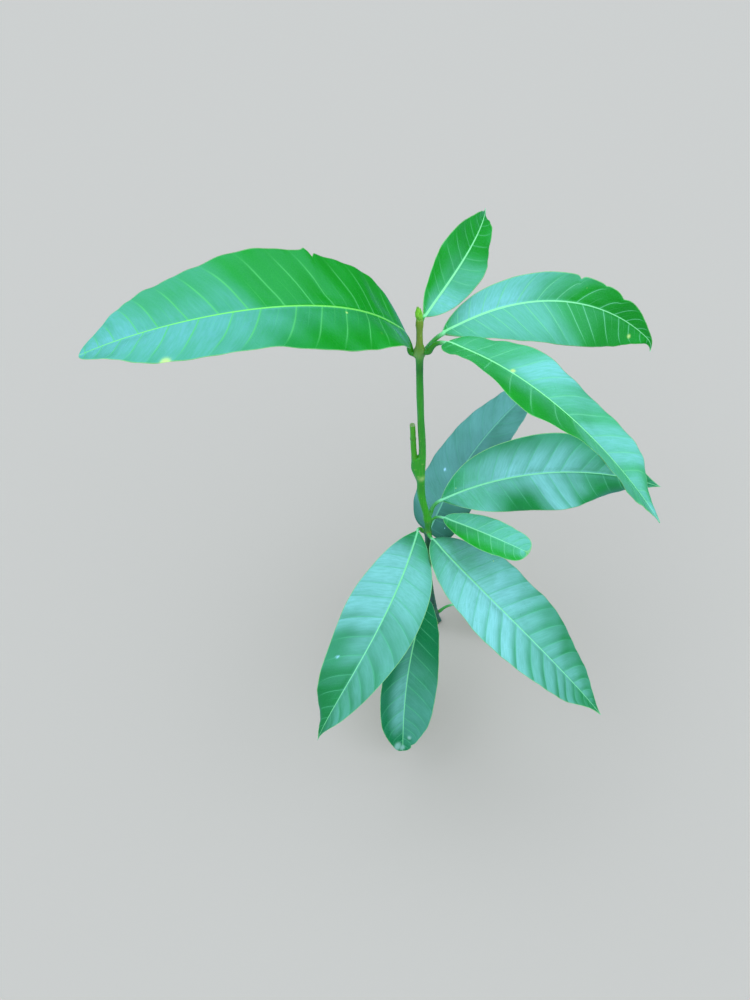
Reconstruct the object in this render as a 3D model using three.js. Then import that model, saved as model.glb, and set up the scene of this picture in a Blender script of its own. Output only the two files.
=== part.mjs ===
// Young mango tree, rooted in the ground: one slender stem, a cut shoot beside it, a bud at its tip
// and eleven long leaves, each with its own stalk.
// Millimetres, +Z up. The origin is the middle of the flat cut under the stem, at ground level.
// The azimuth of a leaf is counted from +X, anticlockwise seen from above.
import * as THREE from 'three';

// Clearance between a piece and what carries it
const GAP = 0.35;

// The stem's own line: how far it leans along X and its radius, at each height
const STEM_STATIONS = [
  { height: 0, lean: 0, radius: 2.9 },
  { height: 40, lean: -6.6, radius: 2.7 },
  { height: 80, lean: -12.2, radius: 2.6 },
  { height: 136, lean: -16.2, radius: 2.55 },
  { height: 174, lean: -19.2, radius: 2.45 },
  { height: 205, lean: -25.1, radius: 2.85 },
  { height: 228, lean: -26.6, radius: 2.75 },
  { height: 258, lean: -27.2, radius: 2.45 },
  { height: 290, lean: -29.9, radius: 2.25 },
  { height: 340, lean: -33.1, radius: 2.1 },
  { height: 371, lean: -34.6, radius: 1.75 },
];

// Where the stem swells: the flare at the ground, the leaf joints and the growth collar
const STEM_SWELLINGS = [
  { height: 0, extra: 1, spread: 6 },
  { height: 154, extra: 0.6, spread: 5 },
  { height: 174, extra: 0.7, spread: 4 },
  { height: 346, extra: 0.7, spread: 5 },
  { height: 367, extra: 0.3, spread: 3 },
];

// The stem widens to its left below the cut shoot and ends there in a small shoulder
const FORK = { from: 218, full: 241, top: 249, reach: 4.7, shoulder: 0.6 };
const STEM_SIDES = 16;
const STEM_STEP = 8;

// The cut shoot, from the shoulder to its flat cut end
const SHOOT = { foot: 250, top: 283, footLean: -32.4, topLean: -34.9, footRadius: 1.85, topRadius: 1.75 };
const SHOOT_SIDES = 12;
const SHOOT_STEPS = 5;

// The bud at the tip, a short pointed egg. It would close a little past its top, so that it ends blunt
const BUD = {
  foot: 371.4, height: 8.4, lean: -1.2, radius: 2.1,
  footShare: 0.75, widestAt: 0.3, closeBy: 0.97, closedAt: 1.1,
};
const BUD_SIDES = 12;
const BUD_STEPS = 6;

// How finely a leaf is stepped
const LEAF_SIDES = 12;
const STALK_STEPS = 8;
const BLADE_STEPS = 40;
const RING_EVERY = 2;

// The stalk: how far it stands straight out of the stem, how much thicker its foot is and how far up
const KNEE = 0.6;
const STALK_SWELL = 1.4;
const SWELL_UNTIL = 0.6;

// The blade: its thickness as a share of its length and what is left of it at the tip, the midrib that
// runs out of the stalk, and how far along the blade each of them changes
const THICKNESS_SHARE = 0.011;
const TIP_THICKNESS = 0.5;
const THINNER_FROM = 0.85;
const TIP_FROM = 0.8;
const MIDRIB_TAPER = 0.6;
const ROUND_UNTIL = 0.06;
const RIPPLE_FROM = 0.15;
const RIPPLE_UNTIL = 0.85;
const NOTCH_POWER = 1.5;

// What a leaf has unless it says otherwise
const PLAIN_OUTLINE = { widest: 0.45, fullness: 1.35, point: 0.5, skew: 0, notch: 0 };
const PLAIN_RIPPLE = { left: 0, right: 0, count: 2.5, leftPhase: 0, rightPhase: 0 };

// The leaves, upper rosette first. Lengths in mm, angles in degrees:
// at, height of the joint; stalk, length and the way it leaves the stem; blade, size and course;
// shape, roll about the midrib, its twist to the tip, the fold of the halves and their curl;
// outline, where it is widest, how full it is, how its point is drawn in, its skew and its notched tip;
// ripple, the waves along the two margins
const LEAVES = {
  upper_left_leaf: {
    at: 344,
    stalk: { length: 16, azimuth: 155, rise: 85, radius: 1.4 },
    blade: { length: 188, width: 64, azimuth: 220, rise: 61, sweep: -32, droop: 82, bend: 0.8 },
    shape: { roll: -22, twist: 26, fold: 4, curl: 2 },
    outline: { widest: 0.44, fullness: 0.9, point: 0.3, skew: -0.1 },
    ripple: { left: -2.5, right: 1.5, count: 2.4, leftPhase: 0.4, rightPhase: 0.05 },
    colour: 0x2f9a45,
  },
  upper_back_leaf: {
    at: 364,
    stalk: { length: 5, azimuth: 75, rise: 45, radius: 0.9 },
    blade: { length: 134, width: 32, azimuth: 57, rise: 11, sweep: 25, droop: 31, bend: 0.8 },
    shape: { roll: 42, twist: -8, fold: 7, curl: 10 },
    outline: { widest: 0.34, fullness: 2.15, point: 0.55, skew: 0.06 },
    ripple: { left: -1, right: 1.5, count: 2.8, leftPhase: 0.35, rightPhase: 0.15 },
    colour: 0x3fa54a,
  },
  upper_right_leaf: {
    at: 344,
    stalk: { length: 15, azimuth: 40, rise: 50, radius: 1.3 },
    blade: { length: 170, width: 45, azimuth: 38, rise: 2, sweep: -46, droop: 48, bend: 1.4 },
    shape: { roll: 13, twist: 64, fold: 11, curl: 5 },
    outline: { widest: 0.46, fullness: 1.45, point: 0.5, skew: -0.24 },
    ripple: { left: -0.5, right: 0.5, count: 3.6, leftPhase: 0.1, rightPhase: -0.1 },
    colour: 0x3c9f52,
  },
  upper_drooping_leaf: {
    at: 348,
    stalk: { length: 18, azimuth: -20, rise: 75, radius: 1.3 },
    blade: { length: 152, width: 52, azimuth: -43, rise: 21, sweep: -3, droop: 56, bend: 0.8 },
    shape: { roll: -10, twist: -19, fold: 16, curl: 0 },
    outline: { widest: 0.46, fullness: 1.1, point: 0.66, skew: -0.14 },
    ripple: { left: 1.5, right: -3, count: 2.2, leftPhase: 0.6, rightPhase: 0.25 },
    colour: 0x359a50,
  },
  lower_back_leaf: {
    at: 121,
    stalk: { length: 16, azimuth: 100, rise: 5, radius: 1.2 },
    blade: { length: 155, width: 62, azimuth: 59, rise: 54, sweep: -36, droop: 20, bend: 0.8 },
    shape: { roll: -22, twist: 2, fold: 4, curl: -3 },
    outline: { widest: 0.34, fullness: 0.8, point: 0.15, skew: 0.04 },
    colour: 0x3d8a6c,
  },
  lower_right_leaf: {
    at: 173,
    stalk: { length: 15, azimuth: 65, rise: 60, radius: 1.3 },
    blade: { length: 178, width: 59, azimuth: 16, rise: 23, sweep: -21, droop: 45, bend: 0.8 },
    shape: { roll: 34, twist: 27, fold: 4, curl: -9 },
    outline: { widest: 0.44, fullness: 1.8, point: 0.45, skew: 0.02 },
    ripple: { left: -6, right: -6, count: 2.2, leftPhase: 0, rightPhase: 0.5 },
    colour: 0x2f8f55,
  },
  small_notched_leaf: {
    at: 152,
    stalk: { length: 19, azimuth: 80, rise: 70, radius: 1.1 },
    blade: { length: 67, width: 31, azimuth: -27, rise: 6, sweep: -11, droop: -6, bend: 1.2 },
    shape: { roll: 4, twist: 8, fold: 16, curl: 10 },
    outline: { widest: 0.62, fullness: 0.9, point: -0.15, skew: -0.14, notch: 0.08 },
    colour: 0x2f9a58,
  },
  front_right_leaf: {
    at: 158,
    stalk: { length: 5, azimuth: -80, rise: 25, radius: 1.3 },
    blade: { length: 191, width: 68, azimuth: -48, rise: -11, sweep: 16, droop: 34, bend: 1.5 },
    shape: { roll: -10, twist: 7, fold: 5, curl: -12 },
    outline: { widest: 0.4, fullness: 1.55, point: 0.55, skew: 0.12 },
    ripple: { left: -1, right: -1, count: 3.1, leftPhase: -0.05, rightPhase: -0.15 },
    colour: 0x3a9a78,
  },
  front_left_leaf: {
    at: 154,
    stalk: { length: 7, azimuth: -205, rise: 75, radius: 1.2 },
    blade: { length: 190, width: 61, azimuth: -105, rise: -8, sweep: -33, droop: 64, bend: 2.1 },
    shape: { roll: -13, twist: 13, fold: 24, curl: 1 },
    outline: { widest: 0.4, fullness: 2.15, point: 0.45, skew: -0.02 },
    ripple: { left: -2.5, right: 3, count: 3.1, leftPhase: -0.05, rightPhase: -0.9 },
    colour: 0x3a9a72,
  },
  lowest_front_leaf: {
    at: 60,
    stalk: { length: 5, azimuth: -115, rise: 45, radius: 1.1 },
    blade: { length: 134, width: 51, azimuth: -111, rise: -8, sweep: 22, droop: 45, bend: 2.1 },
    shape: { roll: -34, twist: 29, fold: 15, curl: 14 },
    outline: { widest: 0.56, fullness: 1.05, point: 0.3 },
    colour: 0x2f8a62,
  },
  small_low_leaf: {
    at: 14,
    stalk: { length: 14, azimuth: 30, rise: 40, radius: 1.15 },
    blade: { length: 72, width: 26, azimuth: 6, rise: 8, sweep: 3, droop: 35, bend: 1 },
    shape: { roll: 8, twist: 3, fold: 11, curl: -2 },
    outline: { widest: 0.48 },
    colour: 0x2f8a50,
  },
};

const radians = THREE.MathUtils.degToRad;

/** Goes smoothly from 0 at a to 1 at b, for x between them. */
function smooth(a, b, x) {
  const t = THREE.MathUtils.clamp((x - a) / (b - a), 0, 1);
  return t * t * (3 - 2 * t);
}

/** Unit vector of a course with this azimuth and this rise above the level, in degrees. */
function direction(azimuth, rise) {
  const a = radians(azimuth);
  const p = radians(rise);
  return new THREE.Vector3(Math.cos(p) * Math.cos(a), Math.cos(p) * Math.sin(a), Math.sin(p));
}

/** Slope of one column of the stem's stations at station i, weighted by the steps beside it. */
function slope(i, key) {
  const last = STEM_STATIONS.length - 1;
  const step = (k) => STEM_STATIONS[k + 1].height - STEM_STATIONS[k].height;
  const rate = (k) => (STEM_STATIONS[k + 1][key] - STEM_STATIONS[k][key]) / step(k);
  if (i === 0) return rate(0);
  if (i === last) return rate(last - 1);
  return (rate(i - 1) * step(i) + rate(i) * step(i - 1)) / (step(i - 1) + step(i));
}

/** Smooth curve through one column of the stem's stations. */
function along(height, key) {
  let i = STEM_STATIONS.findIndex((s) => s.height > height) - 1;
  if (i < 0) i = STEM_STATIONS.length - 2;
  const [a, b] = [STEM_STATIONS[i], STEM_STATIONS[i + 1]];
  const d = b.height - a.height;
  const t = (height - a.height) / d;
  return (
    (2 * t ** 3 - 3 * t ** 2 + 1) * a[key] +
    (t ** 3 - 2 * t ** 2 + t) * d * slope(i, key) +
    (3 * t ** 2 - 2 * t ** 3) * b[key] +
    (t ** 3 - t ** 2) * d * slope(i + 1, key)
  );
}

/** Radius of the stem at a height, with its swellings. */
function stemRadius(height) {
  const bumps = STEM_SWELLINGS.map((s) => s.extra * Math.exp(-(((height - s.height) / s.spread) ** 2)));
  return bumps.reduce((sum, bump) => sum + bump, along(height, 'radius'));
}

/** Closed skin over a row of rings that all have the same number of points, capped at both ends. */
function loft(rings) {
  const sides = rings[0].length;
  const index = [];
  for (let i = 0; i + 1 < rings.length; i++) {
    for (let j = 0; j < sides; j++) {
      const a = i * sides + j;
      const b = i * sides + ((j + 1) % sides);
      index.push(a, b, a + sides, b, b + sides, a + sides);
    }
  }
  const top = (rings.length - 1) * sides;
  for (let j = 1; j + 1 < sides; j++) {
    index.push(0, j + 1, j);
    index.push(top, top + j, top + j + 1);
  }
  const geometry = new THREE.BufferGeometry().setFromPoints(rings.flat());
  geometry.setIndex(index);
  geometry.computeVertexNormals();
  return geometry;
}

/** Level ring round (x, 0, height), as wide as halfX along X and halfY along Y. */
function levelRing(x, height, halfX, halfY, sides) {
  return Array.from({ length: sides }, (_, j) => {
    const a = (2 * Math.PI * j) / sides;
    return new THREE.Vector3(x + halfX * Math.cos(a), halfY * Math.sin(a), height);
  });
}

/** The stem: level rings on its leaning line, widened to the left below the cut shoot. */
function stemGeometry() {
  const top = STEM_STATIONS.at(-1).height;
  const steps = Math.round(top / STEM_STEP);
  const heights = Array.from({ length: steps + 1 }, (_, i) => (top * i) / steps);
  const fixed = STEM_SWELLINGS.map((s) => s.height).concat(FORK.top, FORK.top + FORK.shoulder);
  const apart = STEM_STEP / 4;
  const kept = heights.filter((h) => h === 0 || h === top || fixed.every((f) => Math.abs(h - f) > apart));
  const all = [...new Set([...kept, ...fixed])].sort((a, b) => a - b);
  const rings = all.map((height) => {
    const widening = height > FORK.top ? 0 : FORK.reach * smooth(FORK.from, FORK.full, height);
    const radius = stemRadius(height);
    const x = along(height, 'lean') - widening / 2;
    return levelRing(x, height, radius + widening / 2, radius, STEM_SIDES);
  });
  return loft(rings);
}

/** The cut shoot: a straight tapering rod that stands on the stem's shoulder. */
function shootGeometry() {
  const rings = Array.from({ length: SHOOT_STEPS + 1 }, (_, i) => {
    const t = i / SHOOT_STEPS;
    const radius = THREE.MathUtils.lerp(SHOOT.footRadius, SHOOT.topRadius, t);
    const x = THREE.MathUtils.lerp(SHOOT.footLean, SHOOT.topLean, t);
    return levelRing(x, THREE.MathUtils.lerp(SHOOT.foot, SHOOT.top, t), radius, radius, SHOOT_SIDES);
  });
  return loft(rings);
}

/** The bud: its radius swells to its widest and then closes to a blunt point. */
function budGeometry() {
  const footLean = STEM_STATIONS.at(-1).lean;
  const rings = Array.from({ length: BUD_STEPS + 1 }, (_, i) => {
    const t = i / BUD_STEPS;
    const swell = BUD.footShare + (1 - BUD.footShare) * smooth(0, BUD.widestAt, t);
    const radius = BUD.radius * swell * Math.sqrt(1 - BUD.closeBy * smooth(BUD.widestAt, BUD.closedAt, t));
    return levelRing(footLean + BUD.lean * t, BUD.foot + BUD.height * t, radius, radius, BUD_SIDES);
  });
  return loft(rings);
}

/** Frame of a leaf at a place on its course: forward, sideways to the left, and out of its face. */
function leafFrame(azimuth, rise, roll) {
  const forward = direction(azimuth, rise);
  const flat = new THREE.Vector3(-Math.sin(radians(azimuth)), Math.cos(radians(azimuth)), 0);
  const up = forward.clone().cross(flat);
  const [c, s] = [Math.cos(radians(roll)), Math.sin(radians(roll))];
  const side = flat.clone().multiplyScalar(c).addScaledVector(up, s);
  const face = flat.multiplyScalar(-s).addScaledVector(up, c);
  return { forward, side, face };
}

/** Half the blade's width at s along it, as a share: a lens that is 1 at its widest. */
function bladeShare(outline, s) {
  const { widest, fullness, point } = outline;
  const lens = (s / widest) ** (fullness * widest) * ((1 - s) / (1 - widest)) ** (fullness * (1 - widest));
  return lens * (1 - point * smooth(TIP_FROM, 1, s));
}

/**
 * Ring of a leaf: a round section on the stalk, a thin folded lens across the blade.
 * A point's reach is how far it lies towards the margin, from 0 at the midrib to 1.
 */
function leafRing(centre, frame, size) {
  const { half, fold, curl, skew, left, right, notch, rod, thickness, roundness } = size;
  return Array.from({ length: LEAF_SIDES }, (_, j) => {
    const a = (2 * Math.PI * j) / LEAF_SIDES;
    const sign = Math.cos(a) < 0 ? -1 : 1;
    const reach = Math.abs(Math.cos(a));
    const across = half * (1 + sign * skew) * reach;
    const angle = radians(fold + (curl * reach) / 2);
    const sideways = Math.hypot(across * Math.cos(angle), rod * reach);
    const ripple = (sign > 0 ? left : right) * reach ** 2;
    const skin = THREE.MathUtils.lerp(
      (thickness / 2) * Math.sqrt(Math.abs(Math.sin(a))),
      rod * Math.abs(Math.sin(a)),
      roundness,
    );
    return centre
      .clone()
      .addScaledVector(frame.side, sign * sideways)
      .addScaledVector(frame.face, across * Math.sin(angle) + ripple + Math.sign(Math.sin(a)) * skin)
      .addScaledVector(frame.forward, notch * reach ** NOTCH_POWER);
  });
}

/** Section sizes of a bare stalk of this radius. */
function rodSection(rod) {
  return {
    half: 0, fold: 0, curl: 0, skew: 0, left: 0, right: 0, notch: 0, rod, thickness: 0, roundness: 1,
  };
}

/** Stalk of a leaf: its rings, its end and the thickness it ends with. */
function stalkRings(leaf) {
  const { at, stalk, blade, shape } = leaf;
  const out = direction(stalk.azimuth, 0);
  const bulge = stalk.radius * STALK_SWELL;
  const lean = along(at, 'lean');
  const bark = (height) => (along(height, 'lean') - lean) * out.x + stemRadius(height);
  const surface = Math.max(bark(at - bulge), bark(at), bark(at + bulge));
  const foot = new THREE.Vector3(lean, 0, at).addScaledVector(out, surface + GAP);
  const knee = KNEE + bulge * Math.sin(radians(Math.abs(stalk.rise)));
  const rings = [leafRing(foot, leafFrame(stalk.azimuth, 0, 0), rodSection(bulge))];
  const point = foot.clone().addScaledVector(out, knee);
  rings.push(leafRing(point, leafFrame(stalk.azimuth, stalk.rise / 2, 0), rodSection(bulge)));
  const turn = (u) => [
    THREE.MathUtils.lerp(stalk.azimuth, blade.azimuth, smooth(0, 1, u)),
    THREE.MathUtils.lerp(stalk.rise, blade.rise, smooth(0, 1, u)),
  ];
  for (let i = 1; i <= STALK_STEPS; i++) {
    const step = direction(...turn((i - 0.5) / STALK_STEPS));
    point.addScaledVector(step, stalk.length / STALK_STEPS);
    if (i === STALK_STEPS || i % RING_EVERY) continue;
    const u = i / STALK_STEPS;
    const rod = stalk.radius * THREE.MathUtils.lerp(STALK_SWELL, 1, smooth(0, SWELL_UNTIL, u));
    rings.push(leafRing(point, leafFrame(...turn(u), shape.roll * u), rodSection(rod)));
  }
  return { rings, end: point };
}

/** Blade of a leaf, from the end of its stalk to its tip. */
function bladeRings(leaf, start) {
  const { blade, shape } = leaf;
  const outline = { ...PLAIN_OUTLINE, ...leaf.outline };
  const ripple = { ...PLAIN_RIPPLE, ...leaf.ripple };
  const course = (s) => [blade.azimuth + blade.sweep * s, blade.rise - blade.droop * s ** blade.bend];
  const point = start.clone();
  const rings = [];
  for (let i = 0; i <= BLADE_STEPS; i++) {
    const s = i / BLADE_STEPS;
    if (i) {
      const step = direction(...course(s - 0.5 / BLADE_STEPS));
      point.addScaledVector(step, blade.length / BLADE_STEPS);
    }
    if (i % RING_EVERY) continue;
    const calm = smooth(0, RIPPLE_FROM, s) * smooth(1, RIPPLE_UNTIL, s);
    const wave = (height, phase) => height * calm * Math.sin(2 * Math.PI * (ripple.count * s + phase));
    const thinning = THREE.MathUtils.lerp(1, TIP_THICKNESS, smooth(THINNER_FROM, 1, s));
    rings.push(
      leafRing(point, leafFrame(...course(s), shape.roll + shape.twist * s), {
        half: (blade.width / 2) * bladeShare(outline, s),
        fold: shape.fold,
        curl: shape.curl,
        skew: outline.skew,
        left: wave(ripple.left, ripple.leftPhase),
        right: wave(ripple.right, ripple.rightPhase),
        notch: outline.notch * blade.length * smooth(TIP_FROM, 1, s),
        rod: leaf.stalk.radius * (1 - MIDRIB_TAPER * s),
        thickness: blade.length * THICKNESS_SHARE * thinning,
        roundness: Math.exp(-((s / ROUND_UNTIL) ** 2)),
      }),
    );
  }
  return rings;
}

/** One leaf, stalk and blade in one closed skin. */
function leafGeometry(leaf) {
  const stalk = stalkRings(leaf);
  return loft([...stalk.rings, ...bladeRings(leaf, stalk.end)]);
}

/** Named mesh with a matt finish of its own colour. */
function piece(name, geometry, colour, roughness) {
  const material = new THREE.MeshStandardMaterial({ color: colour, roughness, metalness: 0 });
  const mesh = new THREE.Mesh(geometry, material);
  mesh.name = name;
  return mesh;
}

const tree = new THREE.Group();
tree.add(piece('main_stem', stemGeometry(), 0x3f8f2f, 0.55));
tree.add(piece('cut_side_shoot', shootGeometry(), 0x6fb23a, 0.6));
tree.add(piece('tip_bud', budGeometry(), 0x8fbe3c, 0.5));
for (const [name, leaf] of Object.entries(LEAVES)) {
  tree.add(piece(name, leafGeometry(leaf), leaf.colour, 0.4));
}

export default tree;
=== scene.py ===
"""Young mango tree: the looks of the plant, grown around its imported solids.

Lengths in this file are millimetres and angles are degrees, and a mesh is turned into metres as it is made.
+Z is up and the origin is the middle of the flat cut under the stem. A leaf's azimuth is counted from +X,
anticlockwise seen from above. The stem, the stalks and the blades follow the same rules as the solids, and
go on to finer relief: midribs, side veins with the blade quilted between them, cushions, scars and scales.
"""
import logging
import math
from dataclasses import dataclass, field, replace

import bpy
import numpy as np
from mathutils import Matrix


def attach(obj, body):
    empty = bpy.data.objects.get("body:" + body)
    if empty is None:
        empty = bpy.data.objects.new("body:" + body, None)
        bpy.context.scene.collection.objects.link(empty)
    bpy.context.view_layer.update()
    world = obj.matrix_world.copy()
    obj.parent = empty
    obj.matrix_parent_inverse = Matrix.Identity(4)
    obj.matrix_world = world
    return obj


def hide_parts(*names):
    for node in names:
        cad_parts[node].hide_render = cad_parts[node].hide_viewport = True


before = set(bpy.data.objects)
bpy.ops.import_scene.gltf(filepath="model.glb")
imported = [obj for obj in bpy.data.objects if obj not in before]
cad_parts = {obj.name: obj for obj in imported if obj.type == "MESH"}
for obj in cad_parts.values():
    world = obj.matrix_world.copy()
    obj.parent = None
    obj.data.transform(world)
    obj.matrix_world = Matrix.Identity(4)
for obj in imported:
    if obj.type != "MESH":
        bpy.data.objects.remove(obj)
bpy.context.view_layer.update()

MM = 0.001
BODY = "root"
BAKE_MAP = "OFBake"
GRAIN = "leaf_grain"
ZONE = "leaf_zone"
MARK = "leaf_mark"
# Name of the share of painted sheen that each leaf point carries.
PAINTED_SHEEN = "leaf_bloom"
BARK = "bark_zone"
MAP_EDGE = 0.02
IOR = 1.5
GRAIN_DEPTH = 0.0002

log = logging.getLogger("mango_tree")
Array = np.ndarray
Colour = tuple[float, float, float]


def smooth(low: float, high: float, x: Array | float) -> Array:
    """Goes from 0 at low to 1 at high along 3t² − 2t³, with t the share of the way, and no further."""
    t = np.clip((np.asarray(x, float) - low) / (high - low), 0.0, 1.0)
    return t * t * (3.0 - 2.0 * t)


def direction(azimuth: Array | float, rise: Array | float) -> Array:
    """Unit vector of a course: (cos rise · cos azimuth, cos rise · sin azimuth, sin rise)."""
    a, p = np.radians(azimuth), np.radians(rise)
    return np.stack(np.broadcast_arrays(np.cos(p) * np.cos(a), np.cos(p) * np.sin(a), np.sin(p)), -1)


def unit(vectors: Array) -> Array:
    """Each vector divided by its own length."""
    return vectors / np.maximum(np.linalg.norm(vectors, axis=-1, keepdims=True), 1e-12)


def bell(distance: Array, width: float) -> Array:
    """A bell curve, exp(−(distance / width)²)."""
    return np.exp(-((np.asarray(distance, float) / width) ** 2))


def spread(count: int, *crowds: tuple[float, float, float]) -> Array:
    """Places from 0 to 1 that stand closer together round some of them.

    Their density is 1 + Σ extra · exp(−|x − place| / reach), and they are its running sum, turned round.

    Args:
        count: How many steps there are between the places.
        crowds: One (place, extra density, reach) for each crowd.

    Returns:
        count + 1 rising numbers, the first 0 and the last 1.
    """
    fine = np.linspace(0.0, 1.0, 4001)
    density = 1.0 + sum(extra * np.exp(-np.abs(fine - place) / reach) for place, extra, reach in crowds)
    total = np.concatenate([[0.0], np.cumsum((density[1:] + density[:-1]) / 2.0)])
    return np.interp(np.linspace(0.0, total[-1], count + 1), total, fine)


def loop_quads(rows: int, sides: int) -> Array:
    """Quads of a tube of rings: ring i, point j joins (i, j + 1), (i + 1, j + 1) and (i + 1, j)."""
    i, j = np.meshgrid(np.arange(rows - 1), np.arange(sides), indexing="ij")
    a, b = i * sides + j, i * sides + (j + 1) % sides
    return np.stack([a, b, b + sides, a + sides], -1).reshape(-1, 4)


def fan(ring: Array, centre: int, forward: bool) -> Array:
    """Triangles from a ring of points to one point, turned to face along the tube's course or against it."""
    after = np.roll(ring, -1)
    middle = np.full_like(ring, centre)
    return np.stack([ring, after, middle] if forward else [after, ring, middle], -1)


def turns(sides: int) -> Array:
    """Angles of the points round a ring, in one row."""
    return (2 * np.pi * np.arange(sides) / sides)[None, :]


def level_rings(x: Array, radius: Array, turn: Array, z: Array) -> Array:
    """Points of level rings: (x + radius · cos turn, radius · sin turn, z)."""
    return np.stack([x + radius * np.cos(turn), radius * np.sin(turn), z + 0 * turn], -1)


def lengths_along(line: Array) -> Array:
    """How far each point of a line lies from its start, along it."""
    return np.concatenate([[0.0], np.cumsum(np.linalg.norm(np.diff(line, axis=0), axis=1))])


def on_line(places: Array, known: Array, line: Array) -> Array:
    """Points of a line at some places, between its points at the known ones."""
    return np.stack([np.interp(places, known, line[:, k]) for k in range(3)], -1)


def add_object(name: str, data: bpy.types.ID) -> bpy.types.Object:
    """A new object in the scene, at the origin."""
    thing = bpy.data.objects.new(name, data)
    bpy.context.scene.collection.objects.link(thing)
    return thing


@dataclass
class Skin:
    """A closed skin over rings, with what its faces and points carry.

    Attributes:
        name: Name of the piece.
        rings: Points, rows × sides × 3, in millimetres. Both ends are closed with a fan to their middle.
        map: Places on the bake's map, rows × (sides + 1) × 2, where the last column closes the ring.
        vectors: Named vectors of the points, each rows × sides × 3.
        numbers: Named numbers of the points, each rows × sides.
    """

    name: str
    rings: Array
    map: Array
    vectors: dict[str, Array] = field(default_factory=dict)
    numbers: dict[str, Array] = field(default_factory=dict)

    # How far past the last ring the middle of a fan lies on the map.
    FAN_ROOM = 0.008

    def _with_ends(self, values: Array) -> Array:
        """Values of the points in a row, with the means of the first and the last ring after them."""
        flat = values.reshape(-1, *values.shape[2:])
        return np.concatenate([flat, values[0].mean(0)[None], values[-1].mean(0)[None]])

    def build(self) -> bpy.types.Object:
        """Makes the mesh and its object, at the origin, with smooth faces.

        Returns:
            The object, not yet dressed.
        """
        rows, sides = self.rings.shape[:2]
        count = rows * sides
        quads = loop_quads(rows, sides)
        first = fan(np.arange(sides), count, False)
        last = fan(np.arange(count - sides, count), count + 1, True)
        points = self._with_ends(self.rings) * MM
        mesh = bpy.data.meshes.new(self.name)
        mesh.from_pydata(points.tolist(), [], quads.tolist() + first.tolist() + last.tolist())
        mesh.polygons.foreach_set("use_smooth", np.ones(len(mesh.polygons), bool))
        for kind, part, own in (("FLOAT_VECTOR", "vector", self.vectors), ("FLOAT", "value", self.numbers)):
            for name, values in own.items():
                data = mesh.attributes.new(name, kind, "POINT").data
                data.foreach_set(part, self._with_ends(values).astype(np.float32).ravel())
        places = mesh.uv_layers.new(name=BAKE_MAP).uv
        places.foreach_set("vector", self._corner_map().astype(np.float32).ravel())
        mesh.update()
        return add_object(self.name, mesh)

    def _corner_map(self) -> Array:
        """Places on the map of every face's corners, quads first and then the fans."""
        rows, sides = self.rings.shape[:2]
        i, j = np.meshgrid(np.arange(rows - 1), np.arange(sides), indexing="ij")
        quads = np.stack([self.map[i, j], self.map[i, j + 1], self.map[i + 1, j + 1], self.map[i + 1, j]], 2)
        j = np.arange(sides)
        low, high = self.map[0], self.map[-1]
        room = np.array([0.0, self.FAN_ROOM])
        first = np.stack([low[j + 1], low[j], (low[j + 1] + low[j]) / 2.0 - room], 1)
        last = np.stack([high[j], high[j + 1], (high[j + 1] + high[j]) / 2.0 + room], 1)
        return np.concatenate([part.reshape(-1, 2) for part in (quads, first, last)])


def tube_map(rows: int, sides: int) -> Array:
    """A map that unrolls a tube: its turn runs from left to right and its length from bottom to top."""
    across = np.linspace(MAP_EDGE, 1.0 - MAP_EDGE, sides + 1)
    along = np.linspace(MAP_EDGE, 1.0 - MAP_EDGE, rows)
    return np.stack(np.broadcast_arrays(across[None, :], along[:, None]), -1)


def place_piece(piece: bpy.types.Object, slot: str, material: bpy.types.Material, *nodes: str) -> None:
    """Dresses a piece, lets it ride on the plant's body and stand for its solids, and reports it."""
    piece.data.materials.append(material)
    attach(piece, BODY)
    if nodes:
        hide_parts(*nodes)
    log.info("%s: %d faces, slot %s", piece.name, len(piece.data.polygons), slot)


def place_bark(
    name: str, rings: Array, zones: list[Array], slot: str, material: bpy.types.Material, *nodes: str
) -> None:
    """Makes and places a piece of bark, from its rings and its zones: scar, pale and painted shade."""
    skin = Skin(name, rings, tube_map(*rings.shape[:2]), {BARK: np.stack(zones, -1)})
    place_piece(skin.build(), slot, material, *nodes)


Socket = bpy.types.NodeSocket
Input = float | tuple | Socket


def new_material(name: str) -> bpy.types.Material:
    """A material with its surface shader."""
    material = bpy.data.materials.new(name)
    material.use_nodes = True
    return material


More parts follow.
